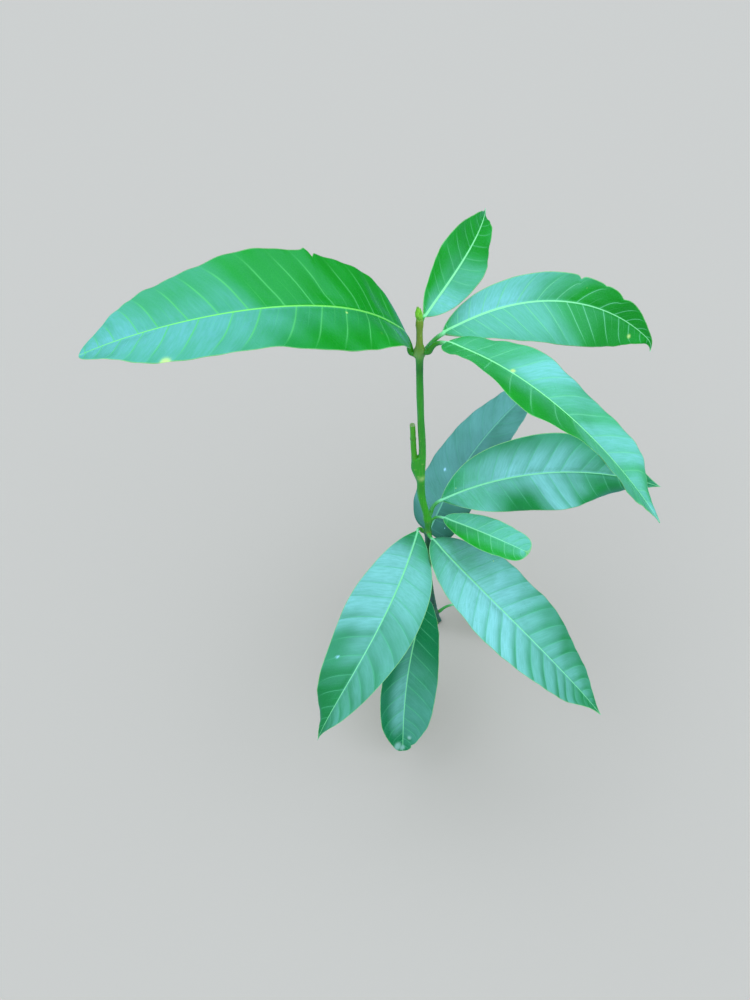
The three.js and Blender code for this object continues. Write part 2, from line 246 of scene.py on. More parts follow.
class Bench:
    """The nodes of a material or of the light: each method adds to them and gives the new output."""

    def __init__(self, tree: bpy.types.NodeTree) -> None:
        """Takes the nodes to work on."""
        self.tree = tree

    def feed(self, socket: Socket, value: Input) -> None:
        """Links a socket to another one's output, or sets its value."""
        if isinstance(value, bpy.types.NodeSocket):
            self.tree.links.new(value, socket)
        elif isinstance(value, tuple) and len(value) == 3 and len(socket.default_value) == 4:
            socket.default_value = (*value, 1.0)
        else:
            socket.default_value = value

    def add(self, kind: str, inputs: dict[int | str, Input], **settings: object) -> bpy.types.Node:
        """Adds a node of one kind, with its inputs and its settings."""
        node = self.tree.nodes.new(kind)
        for key, value in settings.items():
            setattr(node, key, value)
        for key, value in inputs.items():
            self.feed(node.inputs[key], value)
        return node

    def surface(self, **inputs: Input) -> None:
        """Sets the shader's inputs, named in small letters with _ for a space."""
        shader = self.tree.nodes["Principled BSDF"]
        sockets = {socket.name.lower().replace(" ", "_"): socket for socket in shader.inputs}
        for key, value in inputs.items():
            self.feed(sockets[key], value)

    def math(self, operation: str, a: Input, b: Input = 0.0) -> Socket:
        """What an operation makes of two numbers."""
        return self.add("ShaderNodeMath", {0: a, 1: b}, operation=operation).outputs[0]

    def times(self, a: Input, b: Input) -> Socket:
        """One number times another."""
        return self.math("MULTIPLY", a, b)

    def weighted(self, *parts: tuple[Socket, float]) -> Socket:
        """Sum of some numbers, each times its weight."""
        total, *others = [self.times(value, weight) for value, weight in parts]
        for part in others:
            total = self.math("ADD", total, part)
        return total

    def step(self, value: Input, low: float, high: float, start: float = 0.0, end: float = 1.0) -> Socket:
        """Goes smoothly from start to end as the value goes from low to high."""
        inputs = {"Value": value, "From Min": low, "From Max": high, "To Min": start, "To Max": end}
        return self.add("ShaderNodeMapRange", inputs, interpolation_type="SMOOTHSTEP").outputs[0]

    def fade(self, value: Input, low: float, high: float, start: float = 1.0) -> Socket:
        """Goes smoothly from start to nothing as the value goes from low to high."""
        return self.step(value, low, high, start, 0.0)

    def mix(self, share: Input, a: Input, b: Input) -> Socket:
        """Colour a with a share of colour b on it."""
        return self.add("ShaderNodeMixRGB", {0: share, 1: a, 2: b}).outputs[0]

    def layers(self, colour: Input, *layers: tuple[Input, Input]) -> Input:
        """A colour with others laid on it in turn, each given as its share and its colour."""
        for share, other in layers:
            colour = self.mix(share, colour, other)
        return colour

    def blend(self, share: Input, a: Input, b: Input) -> Socket:
        """Number a with a share of number b in it."""
        return self.add("ShaderNodeMix", {0: share, 2: a, 3: b}, data_type="FLOAT").outputs[0]

    def place(self) -> Socket:
        """The place on the object, in metres."""
        return self.add("ShaderNodeTexCoord", {}).outputs["Object"]

    def stored(self, name: str) -> list[Socket]:
        """The three parts of a vector that the mesh carries."""
        vector = self.add("ShaderNodeAttribute", {}, attribute_name=name).outputs["Vector"]
        return list(self.add("ShaderNodeSeparateXYZ", {0: vector}).outputs)

    def number(self, name: str) -> Socket:
        """A number that the mesh carries."""
        return self.add("ShaderNodeAttribute", {}, attribute_name=name).outputs["Fac"]

    def vector(self, x: Input, y: Input, z: Input = 0.0) -> Socket:
        """A vector of three numbers."""
        return self.add("ShaderNodeCombineXYZ", {0: x, 1: y, 2: z}).outputs[0]

    def stretch(self, vector: Socket, scale: Colour) -> Socket:
        """A vector with each of its parts multiplied."""
        return self.add("ShaderNodeVectorMath", {0: vector, 1: scale}, operation="MULTIPLY").outputs[0]

    def noise(self, vector: Socket, scale: float, detail: float = 2.0) -> Socket:
        """Cloudy noise, from 0 to 1."""
        return self.add("ShaderNodeTexNoise", {"Vector": vector, "Scale": scale, "Detail": detail}).outputs[0]

    def cells(self, vector: Socket, scale: float, feature: str = "DISTANCE_TO_EDGE") -> Socket:
        """Cells: how far it is to their edge or their middle."""
        node = self.add("ShaderNodeTexVoronoi", {"Vector": vector, "Scale": scale}, feature=feature)
        return node.outputs["Distance"]

    def bump(self, height: Socket, strength: float, distance: float) -> Socket:
        """A normal that stands for a height, where distance in metres is its unit."""
        inputs = {"Strength": strength, "Distance": distance, "Height": height}
        return self.add("ShaderNodeBump", inputs).outputs[0]


@dataclass(frozen=True)
class LeafFinish:
    """Leathery leaf: waxy green above, matt and paler beneath, with pale ribs, veins and edge, and painted
    sheen where the sky's reflection falls.

    Attributes:
        blade: Colour of the upper face.
        deep: Colour that clouds it.
        vein: Colour of the side veins.
        rib: Colour of the midrib.
        stalk: Colour of the stalk.
        edge: Colour of the thin line along the margin.
        mark: Colour of its blemishes.
        beneath: Colour of the lower face.
        painted_sheen: Pale colour of the painted sheen, which stands in for the sky's reflection on the wax.
        gloss: Roughness of the upper face.
        shine: Strength of the sky's reflection on it.
        vein_show: How strongly the side veins show.
        bands: How much of the painted sheen is missing before each vein.
    """

    blade: Colour = (0.011, 0.295, 0.003)
    deep: Colour = (0.009, 0.250, 0.003)
    vein: Colour = (0.11, 0.45, 0.055)
    rib: Colour = (0.24, 0.62, 0.05)
    stalk: Colour = (0.055, 0.26, 0.003)
    edge: Colour = (0.30, 0.47, 0.08)
    mark: Colour = (0.70, 0.70, 0.10)
    beneath: Colour = (0.21, 0.42, 0.045)
    painted_sheen: Colour = (0.23, 0.47, 0.24)
    gloss: float = 0.25
    shine: float = 0.30
    vein_show: float = 0.75
    bands: float = 0.25

    # Scales of the patterns, and the roughness of the veins and of the lower face.
    NET = 620.0
    CLOUDS = 26.0
    SPECKS = 95.0
    SPECK_CLOUDS = 41.0
    STREAKS = (9.0, 3.5, 1.0)
    ROUGH_VEIN = 0.46
    ROUGH_BENEATH = 0.62

    def _veins(self, bench: Bench, phase: Socket, reach: Socket) -> tuple[Socket, Socket]:
        """Lines of the side veins, with short faint ones halfway between them, and a glow beside them.

        Args:
            bench: The nodes to add to.
            phase: Vein phase, which is whole at each vein.
            reach: Share of the half width, from the midrib to the margin.

        Returns:
            Strength of the lines and of the glow.
        """
        gap = bench.math("ABSOLUTE", bench.math("SUBTRACT", phase, bench.math("ROUND", phase)))
        shown = bench.times(bench.step(reach, 0.55, 0.97, 1.0, 0.12), bench.step(reach, 0.0, 0.02))
        line = bench.times(bench.fade(gap, 0.010, 0.042), shown)
        halfway = bench.fade(bench.math("SUBTRACT", 0.5, gap), 0.003, 0.018)
        between = bench.times(halfway, bench.fade(reach, 0.12, 0.62, 0.45))
        glow = bench.times(bench.fade(gap, 0.02, 0.16, 0.08), bench.step(reach, 0.5, 1.0, 1.0, 0.2))
        return bench.math("MAXIMUM", line, between), glow

    def _painted_sheen_share(self, bench: Bench, phase: Socket, reach: Socket, along: Socket, streaks: Socket) -> Socket:
        """Share of painted sheen, pale colour that stands in for the sky's reflection: streaked along the
        veins, and missing in bands that widen before each vein.
        """
        sheen_share = bench.times(bench.number(PAINTED_SHEEN), bench.step(streaks, 0.25, 0.75, 1.1, 0.8))
        before_vein = bench.step(bench.math("FRACT", phase), 0.45, 0.95)
        before_vein = bench.times(before_vein, bench.step(reach, 0.0, 0.7, 0.5))
        missing = bench.times(before_vein, bench.step(along, 0.25, 0.55, 0.2 * self.bands, self.bands))
        return bench.times(sheen_share, bench.math("SUBTRACT", 1.0, missing))

    def material(self, name: str) -> bpy.types.Material:
        """Builds the finish from what the blade carries: its vein grain, its zones, its marks and its painted
        sheen.
        """
        material = new_material(name)
        bench = Bench(material.node_tree)
        phase, reach, rib = bench.stored(GRAIN)
        along, beneath, edge = bench.stored(ZONE)
        place = bench.place()
        lines, glow = self._veins(bench, phase, reach)
        streaks = bench.noise(bench.stretch(bench.vector(phase, reach), self.STREAKS), 1.0, 3.0)
        net = bench.fade(bench.cells(place, self.NET), 0.0, 0.12)
        clouds = bench.noise(place, self.CLOUDS, 3.0)
        specks = bench.fade(bench.cells(place, self.SPECKS, "F1"), 0.035, 0.055)
        rare = bench.times(specks, bench.step(bench.noise(place, self.SPECK_CLOUDS), 0.60, 0.66))

        below = bench.layers(
            self.beneath, (bench.times(net, 0.12), self.vein), (bench.times(lines, 0.6), self.edge)
        )
        colour = bench.layers(
            self.blade,
            (bench.step(clouds, 0.38, 0.64), self.deep),
            (bench.times(bench.step(streaks, 0.35, 0.75), 0.25), self.deep),
            # Painted sheen: pale patches laid into the colour where the sky's reflection falls on the blade.
            (self._painted_sheen_share(bench, phase, reach, along, streaks), self.painted_sheen),
            (glow, self.vein),
            (bench.times(net, 0.07), self.vein),
            (bench.times(lines, self.vein_show), self.vein),
            (beneath, below),
            (bench.fade(edge, 0.22, 0.62, 0.85), self.edge),
            (bench.fade(rib, 0.75, 1.35), self.rib),
            (bench.fade(along, -0.35, 0.05), self.stalk),
            (bench.math("MAXIMUM", bench.number(MARK), bench.times(rare, 0.7)), self.mark),
        )
        above = bench.step(clouds, 0.3, 0.7, self.gloss, self.gloss + 0.10)
        rough = bench.blend(beneath, bench.blend(lines, above, self.ROUGH_VEIN), self.ROUGH_BENEATH)
        height = bench.weighted((streaks, 0.55), (net, -0.18), (lines, 0.5))
        bench.surface(
            base_color=colour, roughness=rough, normal=bench.bump(height, 0.55, GRAIN_DEPTH),
            ior=IOR, specular_ior_level=self.shine,
        )
        return material


@dataclass(frozen=True)
class BarkFinish:
    """Smooth green bark: clouded along its length, with pale specks, darker scars, a paler callus and painted
    shade where the leaves shade it.

    Attributes:
        low: Colour near the ground: the bark's own darker tone there, deepened as painted shade under the
            leaves; the painted shade zones take it too.
        middle: Colour of the stem.
        high: Colour of the youngest shoot.
        scar: Colour of scars and rings.
        pale: Colour of specks and callus.
        turn: Heights, in millimetres, from which low turns to middle and middle to high.
    """

    low: Colour = (0.022, 0.080, 0.008)
    middle: Colour = (0.058, 0.32, 0.003)
    high: Colour = (0.30, 0.31, 0.012)
    scar: Colour = (0.15, 0.11, 0.018)
    pale: Colour = (0.50, 0.51, 0.08)
    turn: tuple[float, float] = (95.0, 350.0)

    # Millimetres over which the colours turn, scales of the patterns, and the sky's reflection.
    LOW_FADE = 60.0
    HIGH_FADE = 6.0
    FIBRE = (900.0, 900.0, 60.0)
    CLOUDS = 55.0
    DOTS = 420.0
    DOT_CLOUDS = 160.0
    SHINE = 0.3

    def material(self, name: str) -> bpy.types.Material:
        """Builds the finish from the place on the stem and the zones it carries: scar, pale and painted
        shade.
        """
        material = new_material(name)
        bench = Bench(material.node_tree)
        place = bench.place()
        height = bench.add("ShaderNodeSeparateXYZ", {0: place}).outputs[2]
        scar, pale, shade = bench.stored(BARK)
        fibre = bench.noise(bench.stretch(place, self.FIBRE), 1.0, 4.0)
        clouds = bench.noise(place, self.CLOUDS, 3.0)
        dots = bench.fade(bench.cells(bench.stretch(place, (1.0, 1.0, 0.55)), self.DOTS, "F1"), 0.16, 0.26)
        dots = bench.times(dots, bench.step(bench.noise(place, self.DOT_CLOUDS), 0.50, 0.60))
        start, end = self.turn
        colour = bench.layers(
            self.low,
            (bench.step(height, (start - self.LOW_FADE) * MM, (start + self.LOW_FADE) * MM), self.middle),
            (bench.step(height, (end - self.HIGH_FADE) * MM, (end + self.HIGH_FADE) * MM), self.high),
            (bench.step(clouds, 0.4, 0.7, 0.0, 0.25), self.low),
            (bench.step(fibre, 0.45, 0.75, 0.0, 0.12), self.pale),
            (bench.times(dots, 0.35), self.pale),
            # Painted shade: the low colour laid on where the stem lies in the leaves' shade.
            (shade, self.low),
            (pale, self.pale),
            (scar, self.scar),
        )
        relief = bench.weighted((fibre, 0.6), (dots, 0.5))
        bench.surface(
            base_color=colour, roughness=bench.step(clouds, 0.3, 0.7, 0.38, 0.55),
            normal=bench.bump(relief, 0.6, GRAIN_DEPTH), ior=IOR, specular_ior_level=self.SHINE,
        )
        return material


@dataclass(frozen=True)
class StemLine:
    """The stem's line: its lean along X and its radius at each height, with its swellings and its fork."""

    heights: tuple[float, ...] = (0, 40, 80, 136, 174, 205, 228, 258, 290, 340, 371)
    leans: tuple[float, ...] = (0, -6.6, -12.2, -16.2, -19.2, -25.1, -26.6, -27.2, -29.9, -33.1, -34.6)
    radii: tuple[float, ...] = (2.9, 2.7, 2.6, 2.55, 2.45, 2.85, 2.75, 2.45, 2.25, 2.1, 1.75)
    swellings: tuple[tuple[float, float, float], ...] = (
        (0, 1.0, 6), (154, 0.6, 5), (174, 0.7, 4), (346, 0.7, 5), (367, 0.3, 3),
    )
    fork_from: float = 218.0
    fork_full: float = 241.0
    fork_top: float = 249.0
    fork_reach: float = 4.7

    # How far the shoulder's rounding reaches over the fork's top and under it.
    OVER_TOP = 2.2
    UNDER_TOP = 1.5

    def _curve(self, values: tuple[float, ...], height: Array | float) -> Array:
        """Cubic curve through the values at the stem's heights, its slopes weighted by the steps."""
        h, v = np.array(self.heights, float), np.array(values, float)
        m = np.gradient(v, h)
        z = np.asarray(height, float)
        i = np.clip(np.searchsorted(h, z, side="right") - 1, 0, len(h) - 2)
        d = h[i + 1] - h[i]
        t = (z - h[i]) / d
        ends = (2 * t**3 - 3 * t**2 + 1) * v[i] + (3 * t**2 - 2 * t**3) * v[i + 1]
        return ends + (t**3 - 2 * t**2 + t) * d * m[i] + (t**3 - t**2) * d * m[i + 1]

    def lean(self, height: Array | float) -> Array:
        """How far the stem's middle lies along X at a height."""
        return self._curve(self.leans, height)

    def radius(self, height: Array | float) -> Array:
        """Radius at a height: the curve through the radii and, per swelling, extra · exp(−(Δ / spread)²)."""
        z = np.asarray(height, float)
        swellings = sum(extra * bell(z - at, width) for at, extra, width in self.swellings)
        return self._curve(self.radii, z) + swellings

    def widening(self, height: Array) -> Array:
        """How much wider the stem is on its left below the cut shoot, up to its rounded shoulder."""
        rounded = smooth(self.fork_top + self.OVER_TOP, self.fork_top - self.UNDER_TOP, height)
        return self.fork_reach * smooth(self.fork_from, self.fork_full, height) * rounded


STEM = StemLine()


@dataclass(frozen=True)
class Stalk:
    """Stalk of a leaf: its length, the way it leaves the stem and its radius."""

    length: float
    azimuth: float
    rise: float
    radius: float


@dataclass(frozen=True)
class Blade:
    """Size and course of a blade, and the turn of its last bit where the tip is hooked."""

    length: float
    width: float
    azimuth: float
    rise: float
    sweep: float
    droop: float
    bend: float
    hook: float = 0.0


@dataclass(frozen=True)
class Shape:
    """Roll about the midrib, its twist to the tip, the fold of the halves and their curl."""

    roll: float
    twist: float
    fold: float
    curl: float


@dataclass(frozen=True)
class Outline:
    """Outline of a blade: where it is widest, how full it is, its point, its skew and its notched tip."""

    widest: float = 0.45
    fullness: float = 1.35
    point: float = 0.5
    skew: float = 0.0
    notch: float = 0.0


@dataclass(frozen=True)
class Ripple:
    """Waves along the two margins: their heights, their count and where they start."""

    left: float = 0.0
    right: float = 0.0
    count: float = 2.5
    left_phase: float = 0.0
    right_phase: float = 0.0


@dataclass(frozen=True)
class Veins:
    """Side veins of a blade: their pairs, their angle to the midrib and the blade's bulge between them."""

    pairs: int = 16
    angle: float = 60.0
    quilt: float = 0.026


@dataclass(frozen=True)
class Mark:
    """Blemish: share of the length, share of the half width (above 0 on the left), radius and height."""

    along: float
    across: float
    radius: float
    height: float = 0.0


@dataclass(frozen=True)
class Nick:
    """Bite out of a margin: share of the length, side (left is 1), width as such a share, and depth."""

    along: float
    side: int
    width: float
    depth: float


@dataclass(frozen=True)
class PaintedSheen:
    """Patch of painted sheen: pale colour that stands in for the sky's reflection on the waxy blade, and runs
    out along the veins.

    Attributes:
        start, end: Where it starts and ends along the midrib.
        low, high: Where it starts and ends across: 1 is the left margin, 0 the midrib, -1 the right margin.
        share: Share of painted sheen in it.
        edge: How far it fades along the midrib.
    """

    AT_MIDRIB = 0.02
    IN_BLADE = 0.28

    start: float
    end: float
    low: float
    high: float
    share: float
    edge: float = 0.07

    def at(self, t: Array, w: Array) -> Array:
        """Share of painted sheen at t along the midrib and w across. Its sides fade, and one at the midrib is
        sharp.
        """
        along = smooth(self.start - self.edge, self.start + self.edge, t)
        along = along * smooth(self.end + self.edge, self.end - self.edge, t)
        low_edge, high_edge = (
            self.AT_MIDRIB if side == 0 else self.IN_BLADE for side in (self.low, self.high)
        )
        across = smooth(self.low - low_edge, self.low + low_edge, w)
        return self.share * along * across * smooth(self.high + high_edge, self.high - high_edge, w)


UPPER = LeafFinish()
CREAMY = replace(UPPER, vein=(0.20, 0.52, 0.13), rib=(0.36, 0.72, 0.17))
LOWER = replace(
    UPPER, blade=(0.014, 0.220, 0.020), deep=(0.012, 0.180, 0.018), vein=(0.10, 0.37, 0.09),
    rib=(0.26, 0.57, 0.14), painted_sheen=(0.265, 0.475, 0.245), shine=0.42, vein_show=0.55,
)
# A darker copy of the lower leaves' finish, for the leaf that lies in the others' shade: painted shade.
SHADED = replace(
    LOWER, blade=(0.030, 0.155, 0.036), deep=(0.026, 0.130, 0.033), vein=(0.070, 0.25, 0.075),
    rib=(0.17, 0.40, 0.12), edge=(0.16, 0.29, 0.08), mark=(0.55, 0.70, 0.50),
    gloss=0.36, shine=0.5, vein_show=0.45,
)


@dataclass
class Leaf:
    """A leaf, stalk and blade in one closed skin.

    Attributes:
        name: Name of the solid that it stands for.
        slot: Material slot of the record.
        at: Height of its joint on the stem.
        stalk, blade, shape, outline, ripple: Its sizes, as the solid's.
        veins: Its side veins.
        finish: Its finish.
        marks: Blemishes on its upper face.
        nicks: Bites out of its margins.
        painted_sheens: Patches of painted sheen, pale colour laid where the sky's reflection falls.
        seed: Seed of its small irregularities.
    """

    name: str
    slot: str
    at: float
    stalk: Stalk
    blade: Blade
    shape: Shape
    outline: Outline = Outline()
    ripple: Ripple = Ripple()
    veins: Veins = Veins()
    finish: LeafFinish = UPPER
    marks: tuple[Mark, ...] = ()
    nicks: tuple[Nick, ...] = ()
    painted_sheens: tuple[PaintedSheen, ...] = ()
    seed: int = 1

    # The stalk, and the steps of the rows and lines.
    ROW = 0.55
    GAP = 0.35
    KNEE = 0.6
    STALK_SWELL = 1.4
    SWELL_UNTIL = 0.6
    STALK_STEPS = 8
    RIB_STEPS = 1200

    # The blade's form, as the solid's.
    TIP_FROM = 0.8
    HOOK_FROM = 0.935
    MIDRIB_TAPER = 0.6
    ROUND_UNTIL = 0.06
    RIPPLE_FROM = 0.15
    RIPPLE_UNTIL = 0.85
    NOTCH_POWER = 1.5
    NICK_POWER = 1.4
    THICKNESS = 0.42

    # The veins: the shift between the two sides, their chance, crowding, bow and slant.
    VEIN_SHIFT = 0.16
    VEIN_CHANCE = 0.13
    VEIN_CROWDING = 0.35
    VEIN_BOW = 0.20
    VEIN_SLANT = 1.35

    # Where points crowd: place, extra density and reach.
    AT_MIDRIB = (0.0, 7.0, 0.035)
    AT_MARGIN = (1.0, 4.0, 0.02)
    AT_FOOT = (0.0, 1.5, 0.02)
    AT_TIP = (1.0, 6.0, 0.008)

    # Slow dents of the blade: height, length and width of each wave.
    DENTS = ((0.45, 61.0, 90.0), (0.30, 37.0, -55.0), (0.22, 23.0, 40.0))

    # Half the room of a face on the map, and how far the stalk is said to be from a margin.
    FACE_ON_MAP = 0.235
    NO_MARGIN = 9.0

    def __post_init__(self) -> None:
        """Works out the columns of the rings, the veins' places and the course of the midrib."""
        columns = round(12 + self.blade.width / 4.2)
        reach = spread(columns, self.AT_MIDRIB, self.AT_MARGIN)
        upper = np.concatenate([reach[::-1], -reach[1:]])
        lower = np.concatenate([-reach[-2::-1], reach[1:-1]])
        self.across = np.concatenate([upper, lower])
        self.above = np.concatenate([np.ones(len(upper)), -np.ones(len(lower))])
        self.chance = np.random.default_rng(self.seed)
        self.vein_places = [self._vein_places(shift) for shift in (-self.VEIN_SHIFT, self.VEIN_SHIFT)]
        self.shares = np.linspace(0.0, 1.0, self.RIB_STEPS + 1)
        middles = (self.shares[1:] + self.shares[:-1]) / 2.0
        steps = direction(*self._course(middles)) * self.blade.length / self.RIB_STEPS
        self.rib_line = self._stalk_path()[-1] + np.concatenate([np.zeros((1, 3)), np.cumsum(steps, 0)])

    def _vein_places(self, shift: float) -> tuple[Array, Array]:
        """Where side veins leave the midrib, closer to each other at both ends, and the phases there.

        A vein's place is x − crowding · sin(2πx) / 2π, where x runs in even steps with a little chance.
        """
        pairs = self.veins.pairs
        chance = self.chance.uniform(-self.VEIN_CHANCE, self.VEIN_CHANCE, pairs)
        x = (np.arange(pairs) + 0.5 + shift + chance) / pairs
        places = x - self.VEIN_CROWDING * np.sin(2 * np.pi * x) / (2 * np.pi)
        phases = np.concatenate([[-0.5], np.arange(pairs), [pairs - 0.5]])
        return np.concatenate([[0.0], places, [1.0]]), phases

    def _course(self, s: Array) -> tuple[Array, Array]:
        """Azimuth and rise at a share of the midrib: azimuth + sweep · s + hook and rise − droop · s^bend."""
        blade = self.blade
        hook = blade.hook * smooth(self.HOOK_FROM, 1.0, s)
        return blade.azimuth + blade.sweep * s + hook, blade.rise - blade.droop * s**blade.bend

    def _axes(self, azimuth: Array, rise: Array, roll: Array) -> tuple[Array, Array, Array]:
        """Forward, side and face of the leaf: the level side and its normal, turned by the roll."""
        forward = direction(azimuth, rise)
        a = np.radians(azimuth)
        flat = np.stack([-np.sin(a), np.cos(a), np.zeros_like(a)], -1)
        up = np.cross(forward, flat)
        c, s = np.cos(np.radians(roll))[..., None], np.sin(np.radians(roll))[..., None]
        return forward, flat * c + up * s, up * c - flat * s

    def _share(self, s: Array) -> Array:
        """Half width at a share of the length, 1 at its widest: a lens whose point is drawn in at the tip."""
        m, k = self.outline.widest, self.outline.fullness
        lens = (s / m) ** (k * m) * ((1 - s) / (1 - m)) ** (k * (1 - m))
        return lens * (1 - self.outline.point * smooth(self.TIP_FROM, 1.0, s))

    def foot(self) -> tuple[Array, float]:
        """Middle of the stalk's foot, clear of the bark all round, and the foot's radius."""
        out = direction(self.stalk.azimuth, 0.0)
        bulge = self.stalk.radius * self.STALK_SWELL
        lean = STEM.lean(self.at)
        heights = self.at + np.array([-bulge, 0.0, bulge])
        bark = (STEM.lean(heights) - lean) * out[0] + STEM.radius(heights)
        return np.array([lean, 0.0, self.at]) + out * (bark.max() + self.GAP), bulge

    def _stalk_turn(self, u: Array) -> tuple[Array, Array]:
        """Azimuth and rise along the stalk, which turn smoothly from its own to the blade's."""
        share = smooth(0.0, 1.0, u)
        azimuth = self.stalk.azimuth + (self.blade.azimuth - self.stalk.azimuth) * share
        return azimuth, self.stalk.rise + (self.blade.rise - self.stalk.rise) * share

    def _stalk_path(self) -> Array:
        """Points of the stalk's middle: straight out of the stem to the knee, then along its turn."""
        foot, bulge = self.foot()
        knee = self.KNEE + bulge * math.sin(math.radians(abs(self.stalk.rise)))
        start = foot + direction(self.stalk.azimuth, 0.0) * knee
        middles = (np.arange(self.STALK_STEPS) + 0.5) / self.STALK_STEPS
        steps = direction(*self._stalk_turn(middles)) * self.stalk.length / self.STALK_STEPS
        return np.concatenate([foot[None], start[None], start + np.cumsum(steps, 0)])

    def _stalk_rings(self) -> Array:
        """Rings of the stalk: circles round its path, whose corner at the knee is rounded.

        Returns:
            Points, rows × sides × 3.
        """
        path = self._stalk_path()
        _, bulge = self.foot()
        lengths = lengths_along(path)
        rows = max(10, round(lengths[-1] / self.ROW))
        places = np.linspace(0.0, lengths[-1], rows + 1)
        line = on_line(places, lengths, path)
        for _ in range(max(2, round(3.0 * bulge / self.ROW))):
            line[1:-1] = (line[:-2] + 2.0 * line[1:-1] + line[2:]) / 4.0
        u = np.clip((places - lengths[1]) / (lengths[-1] - lengths[1]), 0.0, 1.0)
        azimuth, rise = self._stalk_turn(u)
        _, side, _ = self._axes(azimuth, rise, self.shape.roll * u)
        forward = unit(np.gradient(line, axis=0))
        forward[0] = direction(self.stalk.azimuth, 0.0)
        forward[-1] = direction(self.blade.azimuth, self.blade.rise)
        side = unit(side - forward * (side * forward).sum(-1, keepdims=True))
        face = np.cross(forward, side)
        swell = self.STALK_SWELL + (1 - self.STALK_SWELL) * smooth(0.0, self.SWELL_UNTIL, u)
        lumps = 1.0 + 0.02 * np.sin(places * 2.1 + self.seed) + 0.015 * np.sin(places * 4.7)
        rod = (self.stalk.radius * swell * lumps)[:, None, None]
        v, up = self.across[None, :, None], self.above[None, :, None]
        return line[:, None] + rod * (side[:, None] * v + face[:, None] * up * np.sqrt(1.0 - v**2))

    def _nicked(self, s: Array, side: Array) -> Array:
        """What the nicks of each side leave of the half width: 1 − Σ depth · exp(−(|Δs| / width)^1.4)."""
        left = np.ones_like(s)
        for nick in self.nicks:
            bite = np.exp(-((np.abs(s - nick.along) / nick.width) ** self.NICK_POWER))
            left -= nick.depth * bite * (side == nick.side)
        return left

    def _grain(self, t: Array, side: Array) -> tuple[Array, Array]:
        """Vein phase, whole at each vein, and the millimetres between veins, for places on the midrib."""
        phase, step = np.zeros_like(t), np.zeros_like(t)
        for sign, (places, phases) in zip((1, -1), self.vein_places):
            on = side == sign
            phase[on] = np.interp(t[on], places, phases)
            gap = np.diff(places) / np.diff(phases)
            inside = np.clip(np.searchsorted(places, t[on], side="right") - 1, 0, len(gap) - 1)
            step[on] = gap[inside] * self.blade.length
        return phase, step

    def _quilting(self, t: Array, v: Array, side: Array) -> tuple[Array, Array, Array, Array]:
        """The blade between its veins, at t along the midrib and at a share v of the half width.

        Returns:
            The vein phase, the bulge between veins, the millimetres to the nearest vein, and how much of both
            is left towards the midrib, the margin and the ends.
        """
        phase, step = self._grain(t + 0 * v, side)
        inside = phase - np.floor(phase)
        fade = smooth(0.0, 0.16, v) * (1 - 0.8 * smooth(0.72, 1.0, v))
        fade = fade * smooth(0.0, 0.06, t) * smooth(1.0, 0.93, t)
        bulge = self.veins.quilt * step * 4 * inside * (1 - inside) * fade
        return phase, bulge, np.minimum(inside, 1 - inside) * step, fade

    def _skin(self, s: Array, x: Array, v: Array, rod: Array, near: Array, fade: Array) -> Array:
        """Half thickness of the blade: thin at the margin and round like the stalk at the foot.

        Above, the midrib lies in a shallow channel. Beneath, it stands out, and so does each vein a little.
        """
        thin = np.sqrt(1 - v**16)
        flat = self.THICKNESS / 2 * thin * (1 - 0.5 * smooth(0.9, 1.0, s))
        above = 0.30 * (1 - 0.7 * s) * bell(x, 0.75) - 0.16 * bell(x - 1.6, 0.9) * (1 - 0.5 * s)
        above = above + 0.05 * bell(near, 0.5) * fade
        beneath = 0.95 * rod * bell(x, 1.15) + 0.14 * bell(near, 0.55) * fade
        flat = flat + np.where(self.above[None, :] > 0, above, beneath) * thin
        return flat + (rod * np.sqrt(1 - v**2) - flat) * bell(s, self.ROUND_UNTIL)

    def _rippled(self, s: Array, v: Array, side: Array, calm: Array) -> Array:
        """Height of the waves along the margins: height · sin(2π(count · s + phase)) · v²."""
        start = np.where(side > 0, self.ripple.left_phase, self.ripple.right_phase)
        height = np.where(side > 0, self.ripple.left, self.ripple.right) * calm
        return height * np.sin(2 * np.pi * (self.ripple.count * s + start)) * v**2

    def _sag(self, s: Array, x: Array) -> Array:
        """Slow dents of the blade: sine waves over its length and width, calm at the midrib and the ends."""
        waves = self.chance.uniform(0.0, 2 * np.pi, len(self.DENTS))
        dents = sum(
            height * np.sin(2 * np.pi * (s * self.blade.length / long + x / wide) + wave)
            for (height, long, wide), wave in zip(self.DENTS, waves)
        )
        calm = smooth(0.0, 9.0, np.abs(x)) * smooth(0.0, 0.12, s) * smooth(1.0, 0.9, s)
        return dents * calm * self.blade.width / 60

    def _blemishes(self, s: Array, x: Array) -> tuple[Array, Array]:
        """Strength and height of the marks at each point, as bells round their places."""
        strength, lump = np.zeros_like(x), np.zeros_like(x)
        for mark in self.marks:
            middle = mark.across * self.blade.width / 2 * self._share(np.array(mark.along))
            far = np.hypot((s - mark.along) * self.blade.length, x - middle)
            strength = np.maximum(strength, np.exp(-((far / mark.radius) ** 4)))
            lump += mark.height * bell(far, mark.radius)
        return strength, lump

